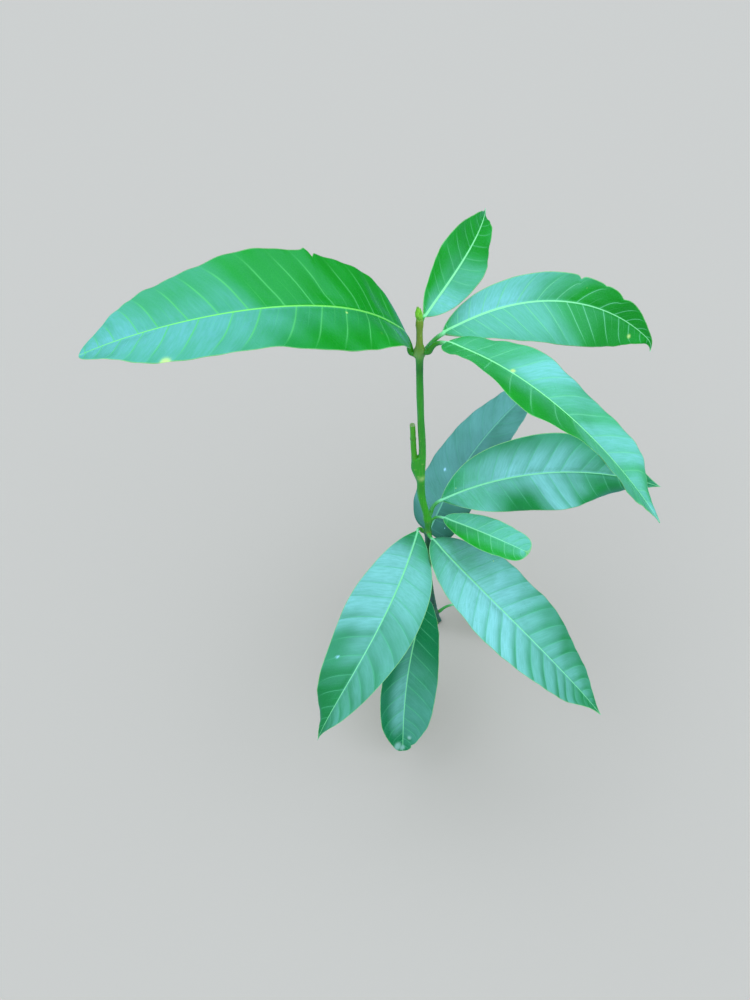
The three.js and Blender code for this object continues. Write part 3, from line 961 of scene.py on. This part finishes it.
    def _blade_rings(self) -> tuple[Array, dict[str, Array], dict[str, Array]]:
        """Rings of the blade, each of which runs out from the midrib along the veins.

        A ring that leaves the midrib at t has its points at s = t + slant · (0.8v + 0.2v³) · 4t(1 − t), with
        v the share of the half width. A point is the midrib's at s, plus side · across · cos(angle) and
        face · (across · sin(angle) + relief), where the angle is fold + curl · v / 2.

        Returns:
            Points, rows × sides × 3, and the vectors and numbers that they carry.
        """
        blade, shape = self.blade, self.shape
        above = self.above[None, :]
        t = spread(round(blade.length / self.ROW), self.AT_FOOT, self.AT_TIP)[1:, None]
        v = np.abs(self.across)[None, :]
        side = np.where(self.across >= 0, 1, -1)[None, :] + np.zeros_like(t, int)
        slant = blade.width / 2 / blade.length / math.tan(math.radians(self.veins.angle)) * self.VEIN_SLANT
        bow = (1 - self.VEIN_BOW) * v + self.VEIN_BOW * v**3
        s = np.clip(t + slant * bow * 4 * t * (1 - t), 0.0, 1.0)
        azimuth, rise = self._course(s)
        forward, sideways, face = self._axes(azimuth, rise, shape.roll + shape.twist * s)
        line = on_line(s, self.shares, self.rib_line)

        half = blade.width / 2 * self._share(s) * (1 + side * self.outline.skew) * self._nicked(s, side)
        x = half * v
        fold = np.radians(shape.fold + shape.curl * v / 2)
        rod = self.stalk.radius * (1 - self.MIDRIB_TAPER * s) * (1 - 0.8 * smooth(0.9, 1.0, s))
        calm = smooth(0.0, self.RIPPLE_FROM, s) * smooth(1.0, self.RIPPLE_UNTIL, s)
        phase, bulge, near, fade = self._quilting(t, v, side)
        waver = 0.22 * np.sin(2 * np.pi * phase + side) * v**8 * calm
        relief = self._rippled(s, v, side, calm) + bulge + waver + self._sag(s, x * side)
        skin = self._skin(s, x, v, rod, near, fade)
        mark, lump = self._blemishes(s, x * side)
        # Share of painted sheen at each point, from the leaf's patches of it.
        sheen_share = np.clip(sum((painted_sheen.at(t, v * side) for painted_sheen in self.painted_sheens), 0.0 * s), 0.0, 1.0)

        out = side * np.hypot(x * np.cos(fold), rod * v)
        lift = x * np.sin(fold) + relief + above * skin + np.where(above > 0, lump, 0.0)
        ahead = self.outline.notch * blade.length * smooth(self.TIP_FROM, 1.0, s) * v**self.NOTCH_POWER
        points = line + sideways * out[..., None] + face * lift[..., None] + forward * ahead[..., None]

        rib_width = (1.10 - 0.82 * s) * np.where(above > 0, 0.62, 1.10)
        grain = np.stack([phase, v + 0 * s, x / rib_width], -1)
        zone = np.stack([s, (above < 0) * (v < 0.995) + 0.0 * s, (1 - v) * half], -1)
        return points, {GRAIN: grain, ZONE: zone}, {MARK: mark * (above > 0), PAINTED_SHEEN: sheen_share * (above > 0)}

    def _map(self, rings: Array) -> Array:
        """Map of the leaf: the upper face fills its left half and the lower face its right, tip up."""
        length = lengths_along(rings.mean(1))
        along = MAP_EDGE + (1.0 - 2 * MAP_EDGE) * length / length[-1]
        across = self.FACE_ON_MAP * np.concatenate([self.across, self.across[:1]])
        upper = np.arange(len(across)) < np.count_nonzero(self.above > 0)
        sideways = np.where(upper, 0.25 - across, 0.75 + across)
        return np.stack(np.broadcast_arrays(sideways[None, :], along[:, None]), -1)

    def build(self) -> None:
        """Makes the leaf, dresses it and lets it stand for its solid."""
        stalk = self._stalk_rings()
        blade, vectors, numbers = self._blade_rings()
        bare = np.zeros(stalk.shape[:2])
        before = -np.linspace(1.0, 0.0, len(stalk))[:, None] + bare
        first = {
            GRAIN: np.stack([bare - 0.5, bare, bare], -1),
            ZONE: np.stack([before, bare, bare + self.NO_MARGIN], -1),
        }
        rings = np.concatenate([stalk, blade])
        skin = Skin(
            f"fine_{self.name}", rings, self._map(rings),
            {key: np.concatenate([first[key], vectors[key]]) for key in vectors},
            {key: np.concatenate([bare, numbers[key]]) for key in numbers},
        )
        place_piece(skin.build(), self.slot, self.finish.material(self.name), self.name)


# The painted sheen patches of a leaf lie where the sky's reflection falls on it.
LEAVES = (
    Leaf(
        "upper_left_leaf", "upper_leaf", 344, Stalk(16, 155, 85, 1.4), Blade(188, 64, 220, 61, -32, 82, 0.8),
        Shape(-22, 26, 4, 2), Outline(0.44, 0.9, 0.3, -0.1, 0), Ripple(-2.5, 1.5, 2.4, 0.4, 0.05),
        veins=Veins(16, 68, 0.014),
        finish=replace(UPPER, blade=(0.006, 0.245, 0.003), painted_sheen=(0.17, 0.38, 0.215), shine=0.22),
        nicks=(Nick(0.33, -1, 0.006, 0.10), Nick(0.35, -1, 0.008, -0.05)),
        marks=(Mark(0.785, 0.90, 2.4), Mark(0.29, 0.10, 0.6), Mark(0.20, 0.55, 0.5)),
        painted_sheens=(
            PaintedSheen(0.48, 1.2, 0, 1.2, 0.58, 0.14), PaintedSheen(0.60, 1.2, 0, 0.6, 0.16),
            PaintedSheen(0.20, 0.52, 0, 0.5, 0.14, 0.1), PaintedSheen(0.54, 1.2, -1.2, 0, 0.24, 0.03),
            PaintedSheen(0.54, 1.2, -0.4, 0, 0.22, 0.03), PaintedSheen(0.82, 1.2, -1.2, 0, 0.38, 0.05),
        ),
        seed=3,
    ),
    Leaf(
        "upper_back_leaf", "upper_leaf", 364, Stalk(5, 75, 45, 0.9), Blade(134, 32, 57, 11, 25, 31, 0.8),
        Shape(42, -8, 7, 10), Outline(0.34, 2.15, 0.55, 0.06, 0), Ripple(-1, 1.5, 2.8, 0.35, 0.15),
        veins=Veins(13, 58, 0.012), finish=replace(CREAMY, vein_show=0.35, shine=0.22),
        painted_sheens=(
            PaintedSheen(0.0, 0.16, -1.2, 0, 0.66), PaintedSheen(0.08, 0.38, -1.2, 0, 0.34, 0.1),
            PaintedSheen(0.0, 0.12, 0, 0.5, 0.35), PaintedSheen(0.0, 0.40, 0, 0.4, 0.16, 0.1),
        ),
        seed=4,
    ),
    Leaf(
        "upper_right_leaf", "upper_leaf", 344, Stalk(15, 40, 50, 1.3),
        Blade(170, 45, 38, 2, -46, 48, 1.4, -100), Shape(13, 64, 11, 5), Outline(0.46, 1.45, 0.5, -0.24, 0),
        Ripple(-0.5, 0.5, 3.6, 0.1, -0.1),
        veins=Veins(15, 56, 0.012), finish=replace(CREAMY, vein_show=0.85),
        nicks=(Nick(0.56, 1, 0.008, 0.12), Nick(0.66, 1, 0.008, 0.05), Nick(0.74, 1, 0.02, 0.16)),
        marks=(Mark(0.86, -0.62, 1.3),),
        painted_sheens=(
            PaintedSheen(0.05, 0.36, 0, 1.2, 0.75), PaintedSheen(0.10, 0.32, 0, 0.5, 0.25),
            PaintedSheen(0.36, 0.50, 0, 1.2, 0.28, 0.05), PaintedSheen(0.0, 0.46, -1.2, 0, 0.45, 0.08),
            PaintedSheen(0.10, 0.42, -0.8, 0, 0.13),
        ),
        seed=5,
    ),
    Leaf(
        "upper_drooping_leaf", "upper_leaf", 348, Stalk(18, -20, 75, 1.3),
        Blade(152, 52, -43, 21, -3, 56, 0.8), Shape(-10, -19, 16, 0), Outline(0.46, 1.1, 0.66, -0.14, 0),
        Ripple(1.5, -3, 2.2, 0.6, 0.25),
        veins=Veins(14, 64, 0.018), finish=replace(CREAMY, vein_show=0.5),
        marks=(Mark(0.285, 0.06, 1.3, 0.4),),
        painted_sheens=(
            PaintedSheen(0.02, 1.2, 0, 1.2, 0.25), PaintedSheen(0.25, 0.37, 0.1, 1.2, 0.65, 0.04),
            PaintedSheen(0.37, 0.50, 0, 1.2, 0.25), PaintedSheen(0.58, 0.76, 0, 1.2, 0.50, 0.03),
            PaintedSheen(0.80, 1.2, 0, 0.6, 0.35, 0.03), PaintedSheen(0.0, 0.55, -0.5, 0, 0.10),
            PaintedSheen(0.26, 0.42, -0.4, 0, 0.14), PaintedSheen(0.56, 1.2, -1.2, 0, 0.35, 0.03),
            PaintedSheen(0.92, 1.2, -1.2, 1.2, 0.45, 0.03),
        ),
        seed=6,
    ),
    Leaf(
        "lower_back_leaf", "shaded_leaf", 121, Stalk(16, 100, 5, 1.2), Blade(155, 62, 59, 54, -36, 20, 0.8),
        Shape(-22, 2, 4, -3), Outline(0.34, 0.8, 0.15, 0.04, 0),
        veins=Veins(15, 62, 0.014), finish=SHADED, marks=(Mark(0.33, 0.45, 1.1),),
        painted_sheens=(PaintedSheen(0.05, 1.2, 0, 1.2, 0.30), PaintedSheen(0.15, 1.2, -1.2, 0, 0.20)), seed=7,
    ),
    Leaf(
        "lower_right_leaf", "lower_leaf", 173, Stalk(15, 65, 60, 1.3), Blade(178, 59, 16, 23, -21, 45, 0.8),
        Shape(34, 27, 4, -9), Outline(0.44, 1.8, 0.45, 0.02, 0), Ripple(-6, -6, 2.2, 0, 0.5),
        veins=Veins(16, 62, 0.024), finish=replace(LOWER, bands=0.6),
        painted_sheens=(
            PaintedSheen(0.09, 0.28, 0, 0.8, 0.46), PaintedSheen(0.24, 0.56, 0, 0.7, 0.50),
            PaintedSheen(0.26, 0.50, 0, 0.45, 0.32), PaintedSheen(0.54, 0.82, 0, 0.35, 0.42),
            PaintedSheen(0.04, 0.17, -1.2, 0, 0.45), PaintedSheen(0.17, 0.36, -0.4, 0, 0.40),
            PaintedSheen(0.37, 0.50, -1.2, 0, 0.78, 0.05), PaintedSheen(0.50, 0.62, -0.7, 0, 0.35, 0.05),
        ),
        seed=8,
    ),
    Leaf(
        "small_notched_leaf", "lower_leaf", 152, Stalk(19, 80, 70, 1.1), Blade(67, 31, -27, 6, -11, -6, 1.2),
        Shape(4, 8, 16, 10), Outline(0.62, 0.9, -0.15, -0.14, 0.08),
        veins=Veins(8, 58, 0.014), finish=replace(CREAMY, rib=(0.30, 0.62, 0.18), vein_show=0.6),
        painted_sheens=(
            PaintedSheen(-0.2, 1.2, 0, 1.2, 0.40, 0.02), PaintedSheen(0.15, 1.2, 0, 1.2, 0.20, 0.1),
            PaintedSheen(0.70, 0.95, 0.1, 1.2, 0.15), PaintedSheen(-0.2, 1.2, -0.6, 0, 0.18, 0.02),
            PaintedSheen(0.55, 1.2, -0.5, 0, 0.14, 0.1), PaintedSheen(0.96, 1.2, -1.2, 0, 0.40, 0.03),
        ),
        seed=9,
    ),
    Leaf(
        "front_right_leaf", "lower_leaf", 158, Stalk(5, -80, 25, 1.3), Blade(191, 68, -48, -11, 16, 34, 1.5),
        Shape(-10, 7, 5, -12), Outline(0.4, 1.55, 0.55, 0.12, 0), Ripple(-1, -1, 3.1, -0.05, -0.15),
        veins=Veins(18, 66, 0.028), finish=replace(LOWER, bands=0.85),
        painted_sheens=(
            PaintedSheen(0.02, 0.42, 0, 1.2, 0.58, 0.05), PaintedSheen(0.20, 0.50, 0, 0.6, 0.28),
            PaintedSheen(0.44, 0.90, 0, 0.45, 0.45), PaintedSheen(0.44, 0.86, 0.45, 1.2, 0.15),
            PaintedSheen(0.05, 0.80, -1.2, 0, 0.48), PaintedSheen(0.15, 0.48, -1.1, 0, 0.48, 0.1),
        ),
        seed=10,
    ),
    Leaf(
        "front_left_leaf", "lower_leaf", 154, Stalk(7, -205, 75, 1.2), Blade(190, 61, -105, -8, -33, 64, 2.1),
        Shape(-13, 13, 24, 1), Outline(0.4, 2.15, 0.45, -0.02, 0), Ripple(-2.5, 3, 3.1, -0.05, -0.9),
        veins=Veins(16, 66, 0.020), finish=replace(LOWER, mark=(0.36, 0.56, 0.34), bands=0.6),
        marks=(Mark(0.605, -0.66, 1.1),),
        painted_sheens=(
            PaintedSheen(0.08, 0.85, 0, 1.2, 0.36), PaintedSheen(0.12, 0.34, 0, 0.8, 0.32, 0.06),
            PaintedSheen(0.08, 0.42, -1.2, 0, 0.85, 0.05), PaintedSheen(0.40, 0.58, -0.5, 0, 0.42, 0.05),
        ),
        seed=11,
    ),
    Leaf(
        "lowest_front_leaf", "lower_leaf", 60, Stalk(5, -115, 45, 1.1), Blade(134, 51, -111, -8, 22, 45, 2.1),
        Shape(-34, 29, 15, 14), Outline(0.56, 1.05, 0.3, 0, 0),
        veins=Veins(13, 58, 0.018),
        finish=replace(
            LOWER, blade=(0.010, 0.165, 0.028), deep=(0.009, 0.140, 0.024), mark=(0.27, 0.38, 0.17),
            shine=0.2,
        ),
        nicks=(Nick(0.955, 1, 0.010, 0.20),),
        # Pale marks at the worn tip: partly wear, partly a painted highlight where the crumpled tip catches
        # the light.
        marks=(Mark(0.958, -0.55, 3.4, 0.5), Mark(0.975, -0.1, 2.4, 0.3), Mark(0.905, 0.38, 1.6, 0.9)),
        painted_sheens=(
            PaintedSheen(0.35, 0.90, 0, 1.2, 0.24, 0.12), PaintedSheen(0.50, 0.84, -0.5, 0, 0.62),
            PaintedSheen(0.28, 0.50, -0.4, 0, 0.35),
        ),
        seed=12,
    ),
    Leaf(
        "small_low_leaf", "lower_leaf", 14, Stalk(14, 30, 40, 1.15), Blade(72, 26, 6, 8, 3, 35, 1),
        Shape(8, 3, 11, -2), Outline(0.48),
        veins=Veins(9, 58, 0.020), finish=LOWER, seed=13,
    ),
)


@dataclass
class Stem:
    """The stem, from the flat cut to the foot of the bud, with its leaf cushions, collars, scars and callus.

    Attributes:
        row: Height of a row of points.
        sides: Points round a ring.
        collars: Height of the first ring of each collar of bud scars, and how many rings it has.
        callus: Height, azimuth and width of the healed wound.
        shades: Height, width and share of each stretch of painted shade, around the lower whorl of leaves and
            just below the top collar.
        growth: Height, width and share of the paler collar where the last flush of growth began.
        finish: The bark.
    """

    row: float = 0.6
    sides: int = 64
    collars: tuple[tuple[float, int], ...] = ((172.9, 2), (180.4, 2), (345.0, 5), (366.0, 3))
    callus: tuple[float, float, float] = (228.0, 295.0, 2.6)
    shades: tuple[tuple[float, float, float], ...] = ((148.0, 20.0, 0.75), (334.0, 5.0, 0.35))
    growth: tuple[float, float, float] = (346.0, 4.0, 0.45)
    finish: BarkFinish = BarkFinish()

    SCAR_STEP = 1.25
    SCAR_GAP = 0.62
    CLEAR = 0.12
    FACING = 0.35

    def _rings(self) -> tuple[Array, list[Array]]:
        """Rings of the stem with their relief.

        A ring's radius is the stem's, plus the flare's lobes, 0.4 · exp(−z / 7) · cos 5θ, low waves, the
        rings of the collars and a cushion under each stalk that reaches its foot.

        Returns:
            Points, rows × sides × 3, and their zones: scar, pale and painted shade.
        """
        top = STEM.heights[-1]
        z = np.linspace(0.0, top, round(top / self.row) + 1)[:, None]
        a = turns(self.sides)
        radius = STEM.radius(z) + 0 * a
        radius += 0.40 * np.exp(-z / 7.0) * np.cos(5 * a + 0.6)
        radius += 0.05 * np.sin(3 * a + z / 9.0) + 0.035 * np.sin(7 * a - z / 14.0)
        radius += 0.05 * np.sin(z / 5.3 + 2 * a)
        scar, pale = np.zeros_like(radius), np.zeros_like(radius)
        for height, count in self.collars:
            for k in range(count):
                at = height + self.SCAR_STEP * k
                radius += 0.13 * bell(z - (at + 0.25 * np.sin(a + 1.7 * k)), 0.42)
                scar = np.maximum(scar, 0.25 * bell(z - (at + self.SCAR_GAP), 0.30) + 0 * a)
        for leaf in LEAVES:
            radius, scar, pale = self._cushion(leaf, z, a, radius, scar, pale)
        height, azimuth, width = self.callus
        turn = np.angle(np.exp(1j * (a - math.radians(azimuth))))
        lump = bell(np.hypot(z - height, turn * 3.0), width)
        radius += 0.55 * lump
        height, width, share = self.growth
        pale = np.maximum(np.maximum(pale, 0.8 * lump), share * bell(z - height, width))
        # Painted shade: darker stretches where the stem lies in shade.
        shade = sum(share * bell(z - height, width) for height, width, share in self.shades) + 0 * a
        widening = STEM.widening(z)
        x = STEM.lean(z) - widening / 2 + (radius + widening / 2) * np.cos(a)
        return np.stack([x, radius * np.sin(a), z + 0 * a], -1), [scar, pale, shade]

    def _cushion(
        self, leaf: Leaf, z: Array, a: Array, radius: Array, scar: Array, pale: Array
    ) -> tuple[Array, Array, Array]:
        """Raises the bark to the foot of a stalk, with a scar's rim under it and a tiny bud above it."""
        foot, bulge = leaf.foot()
        azimuth = math.radians(leaf.stalk.azimuth)
        turn = np.angle(np.exp(1j * (a - azimuth)))
        facing = np.cos(turn) > self.FACING
        far = math.hypot(foot[0] - float(STEM.lean(leaf.at)), foot[1]) + self.CLEAR
        drift = (STEM.lean(z) - STEM.lean(leaf.at)) * math.cos(azimuth)
        reach = np.where(facing, (far - drift) / np.maximum(np.cos(turn), self.FACING), 0.0)
        aside = far * np.sin(turn)
        away = np.hypot(aside, z - leaf.at)
        cover = np.exp(-((away / (bulge * 1.18)) ** 4)) * facing
        rim = bell(away - bulge * 1.15, 0.35) * facing
        bud = bell(np.hypot(aside, (z - leaf.at - bulge - 1.5) * 0.7), 0.85) * facing
        radius = radius + cover * np.maximum(reach - radius, 0.0) + 0.75 * bud
        return radius, np.maximum(scar, 0.3 * np.maximum(rim, bud)), np.maximum(pale, 0.45 * cover)

    def build(self) -> None:
        """Makes the stem, dresses it and lets it stand for its solid."""
        place_bark("fine_main_stem", *self._rings(), "stem", self.finish.material("green_bark"), "main_stem")


@dataclass
class CutShoot:
    """The shoot that was cut off flat, standing on the stem's shoulder.

    Attributes:
        foot, top: Heights of its two ends.
        foot_lean, top_lean: How far its middle lies along X there.
        foot_radius, top_radius: Its radii there.
        rim: How far the cut is rounded down at its rim.
        cut: The dished cut, ring by ring: share of the top's radius, and height over the last ring of bark.
        rows, sides: Rings of bark, and points round each.
        finish: The bark.
    """

    foot: float = 246.0
    top: float = 283.0
    foot_lean: float = -32.1
    top_lean: float = -34.9
    foot_radius: float = 2.0
    top_radius: float = 1.75
    rim: float = 0.3
    cut: tuple[tuple[float, float], ...] = (
        (0.97, 0.20), (0.90, 0.28), (0.80, 0.24), (0.66, 0.12), (0.52, 0.14), (0.36, 0.04), (0.18, 0.0),
    )
    rows: int = 70
    sides: int = 48
    finish: BarkFinish = BarkFinish(
        low=(0.080, 0.31, 0.002), middle=(0.095, 0.35, 0.001), high=(0.12, 0.37, 0.002), turn=(240.0, 276.0)
    )

    def build(self) -> None:
        """Makes the shoot: rings up its line, a rounded rim, and a dished, dry cut with two rings in it."""
        t = np.linspace(0.0, 1.0, self.rows)[:, None]
        a = turns(self.sides)
        radius = self.foot_radius + (self.top_radius - self.foot_radius) * t
        radius = radius + 0.05 * np.sin(3 * a + 9 * t) + 0.04 * np.sin(5 * a - 21 * t)
        radius += 0.22 * bell(t - 0.62, 0.03)
        x = self.foot_lean + (self.top_lean - self.foot_lean) * t
        z = self.foot + (self.top - self.rim - self.foot) * t
        share, height = np.array(self.cut).T[:, :, None]
        cut = level_rings(x[-1], radius[-1:] * share, a, z[-1] + height)
        dry = np.ones(cut.shape[:2])
        scar = np.concatenate([0.5 * bell(t - 0.645, 0.012) + 0 * a, 0.55 * dry])
        pale = np.concatenate([0 * t * a, 0.7 * dry])
        rings = np.concatenate([level_rings(x, radius, a, z), cut])
        material = self.finish.material("shoot_bark")
        place_bark("fine_cut_side_shoot", rings, [scar, pale, 0 * scar], "shoot", material, "cut_side_shoot")


@dataclass
class TipBud:
    """The bud at the stem's tip: a short egg wrapped in pointed scales.

    Attributes:
        foot: Height of its foot.
        height: How high it stands.
        lean: How far its tip lies along X from its foot.
        radius: Radius where it is widest.
        scales: How many scales wrap it.
        finish: The scales' finish.
    """

    foot: float = 370.6
    height: float = 8.9
    lean: float = -1.2
    radius: float = 1.95
    scales: int = 7
    finish: BarkFinish = BarkFinish(
        low=(0.18, 0.34, 0.006), middle=(0.24, 0.47, 0.010), high=(0.32, 0.55, 0.012),
        scar=(0.20, 0.16, 0.020), turn=(300.0, 374.0),
    )

    FIRST_TURN = 40.0
    NEXT_TURN = 137.5

    def _profile(self, t: Array) -> Array:
        """Radius at a share of the height: it swells to its widest at 0.3 and closes to a blunt point."""
        return self.radius * (0.78 + 0.22 * smooth(0.0, 0.3, t)) * np.sqrt(1 - 0.985 * smooth(0.3, 1.05, t))

    def _core(self) -> Array:
        """Rings of the egg inside the scales."""
        t = np.linspace(0.0, 1.0, 28)[:, None]
        x = STEM.leans[-1] + self.lean * t
        return level_rings(x, 0.93 * self._profile(t), turns(32), self.foot + self.height * t)

    def _scale(self, number: int) -> Array:
        """Rings of a scale: a thin pointed shell that hugs a third of the egg's turn, lifted at its tip."""
        start, end = 0.02 + 0.085 * number, 0.50 + 0.075 * number
        u = np.linspace(0.0, 1.0, 22)[:, None]
        v, over = np.cos(turns(24)), np.sin(turns(24))
        width = 1.05 * np.sqrt(1 - smooth(0.35, 1.02, u)) * (1 - 0.25 * number / self.scales)
        t = start + (end - start) * u
        lift = 0.10 + 0.22 * smooth(0.7, 1.0, u) + 0.05 * number / self.scales
        radius = self._profile(t) + lift + 0.11 * over * (1 - 0.6 * u) - 0.12 * v**2
        turn = math.radians(self.NEXT_TURN * number + self.FIRST_TURN) + width * v
        z = self.foot + self.height * t + 0.25 * (1 - v**2) * u
        return level_rings(STEM.leans[-1] + self.lean * t, radius, turn, z)

    def build(self) -> None:
        """Makes the egg and its scales, each a closed skin, and lets the egg stand for the bud's solid."""
        material = self.finish.material("bud_scales")
        pieces = {"fine_tip_bud": self._core()}
        pieces |= {f"bud_scale_{number + 1}": self._scale(number) for number in range(self.scales)}
        nodes = {"fine_tip_bud": ("tip_bud",)}
        for name, rings in pieces.items():
            t = np.linspace(0.0, 1.0, len(rings))[:, None] + np.zeros(rings.shape[:2])
            zones = [0.55 * smooth(0.86, 1.0, t), 0.18 * (1 - t), 0 * t]
            place_bark(name, rings, zones, "bud", material, *nodes.get(name, ()))


@dataclass
class Studio:
    """Pale floor, soft sky-like light and the camera at the photograph's place.

    Attributes:
        floor: Half side of the floor, in metres.
        floor_colour: Colour of the floor, warm enough to look neutral under the sky.
        sky_colour: Colour of the light.
        backdrop: Colour of what the camera sees beyond the floor.
        light: Strength of the light where it is brightest.
        fill: Strength of the light near the horizon.
        bounce: Strength of the light that comes back up from the floor.
        dusk: Azimuth from +X of the side where the bright part of the sky starts higher.
        eye: Place of the camera, in metres.
        pitch: How far it looks down, in degrees.
        focal: Focal length in pixels of the 750 × 1000 frame.
        long_side: The frame's long side, in pixels.
    """

    floor: float = 12.0
    floor_colour: Colour = (0.62, 0.359, 0.180)
    sky_colour: Colour = (0.28, 0.50, 1.0)
    backdrop: Colour = (0.63, 0.65, 0.66)
    light: float = 5.0
    fill: float = 0.16
    bounce: float = 0.9
    dusk: float = 72.0
    eye: tuple[float, float, float] = (-0.0589, -0.3159, 0.650)
    pitch: float = 55.0
    focal: float = 751.0
    long_side: float = 1000.0

    def _lay_floor(self) -> None:
        """A flat pale floor at ground level."""
        side = self.floor
        mesh = bpy.data.meshes.new("floor")
        corners = [(-side, -side, 0), (side, -side, 0), (side, side, 0), (-side, side, 0)]
        mesh.from_pydata(corners, [], [(0, 1, 2, 3)])
        floor = add_object("floor", mesh)
        material = new_material("pale_floor")
        Bench(material.node_tree).surface(base_color=self.floor_colour, roughness=0.9, specular_ior_level=0.0)
        mesh.materials.append(material)
        floor.visible_glossy = False
        floor.visible_diffuse = False

    def _light_up(self) -> None:
        """Soft light from the whole sky, brightest on one side at a middle height, on a pale backdrop."""
        world = bpy.data.worlds.new("soft_light")
        bpy.context.scene.world = world
        world.use_nodes = True
        bench = Bench(world.node_tree)
        sky = bench.tree.nodes["Background"]
        way = bench.add("ShaderNodeTexCoord", {}).outputs["Generated"]
        rise = bench.add("ShaderNodeSeparateXYZ", {0: way}).outputs[2]
        towards = tuple(float(part) for part in direction(self.dusk, 0.0))
        lobe = bench.add("ShaderNodeVectorMath", {0: way, 1: towards}, operation="DOT_PRODUCT").outputs[1]
        height = bench.math("SUBTRACT", rise, bench.step(lobe, 0.55, 1.05, 0.0, 0.58))
        shape = bench.times(bench.step(height, -0.18, 0.69), bench.step(rise, 0.75, 1.0, 1.0, 0.2))
        below = bench.step(rise, -0.50, -0.05, self.bounce, self.fill)
        strength = bench.math("ADD", bench.times(shape, self.light), below)
        bench.feed(sky.inputs["Color"], self.sky_colour)
        bench.feed(sky.inputs["Strength"], strength)
        backdrop = bench.add("ShaderNodeBackground", {"Color": self.backdrop, "Strength": 1.0}).outputs[0]
        seen = bench.add("ShaderNodeLightPath", {}).outputs["Is Camera Ray"]
        both = bench.add("ShaderNodeMixShader", {0: seen, 1: sky.outputs[0], 2: backdrop}).outputs[0]
        bench.feed(bench.tree.nodes["World Output"].inputs[0], both)

    def _set_camera(self) -> None:
        """A camera with the photograph's lens, place and tilt."""
        data = bpy.data.cameras.new("camera")
        data.sensor_width = 36.0
        data.lens = self.focal / self.long_side * data.sensor_width
        data.clip_start = 0.01
        camera = add_object("camera", data)
        camera.location = self.eye
        camera.rotation_euler = (math.radians(90.0 - self.pitch), 0.0, 0.0)
        bpy.context.scene.camera = camera

    def build(self) -> None:
        """Sets up the floor, the light and the camera, and plain colours for the view."""
        self._lay_floor()
        self._light_up()
        self._set_camera()
        bpy.context.scene.view_settings.view_transform = "Standard"


def main() -> None:
    """Builds the studio and the plant, piece by piece."""
    logging.basicConfig(level=logging.INFO, format="%(name)s: %(message)s")
    Studio().build()
    Stem().build()
    CutShoot().build()
    TipBud().build()
    for leaf in LEAVES:
        leaf.build()


if __name__ == "__main__":
    main()
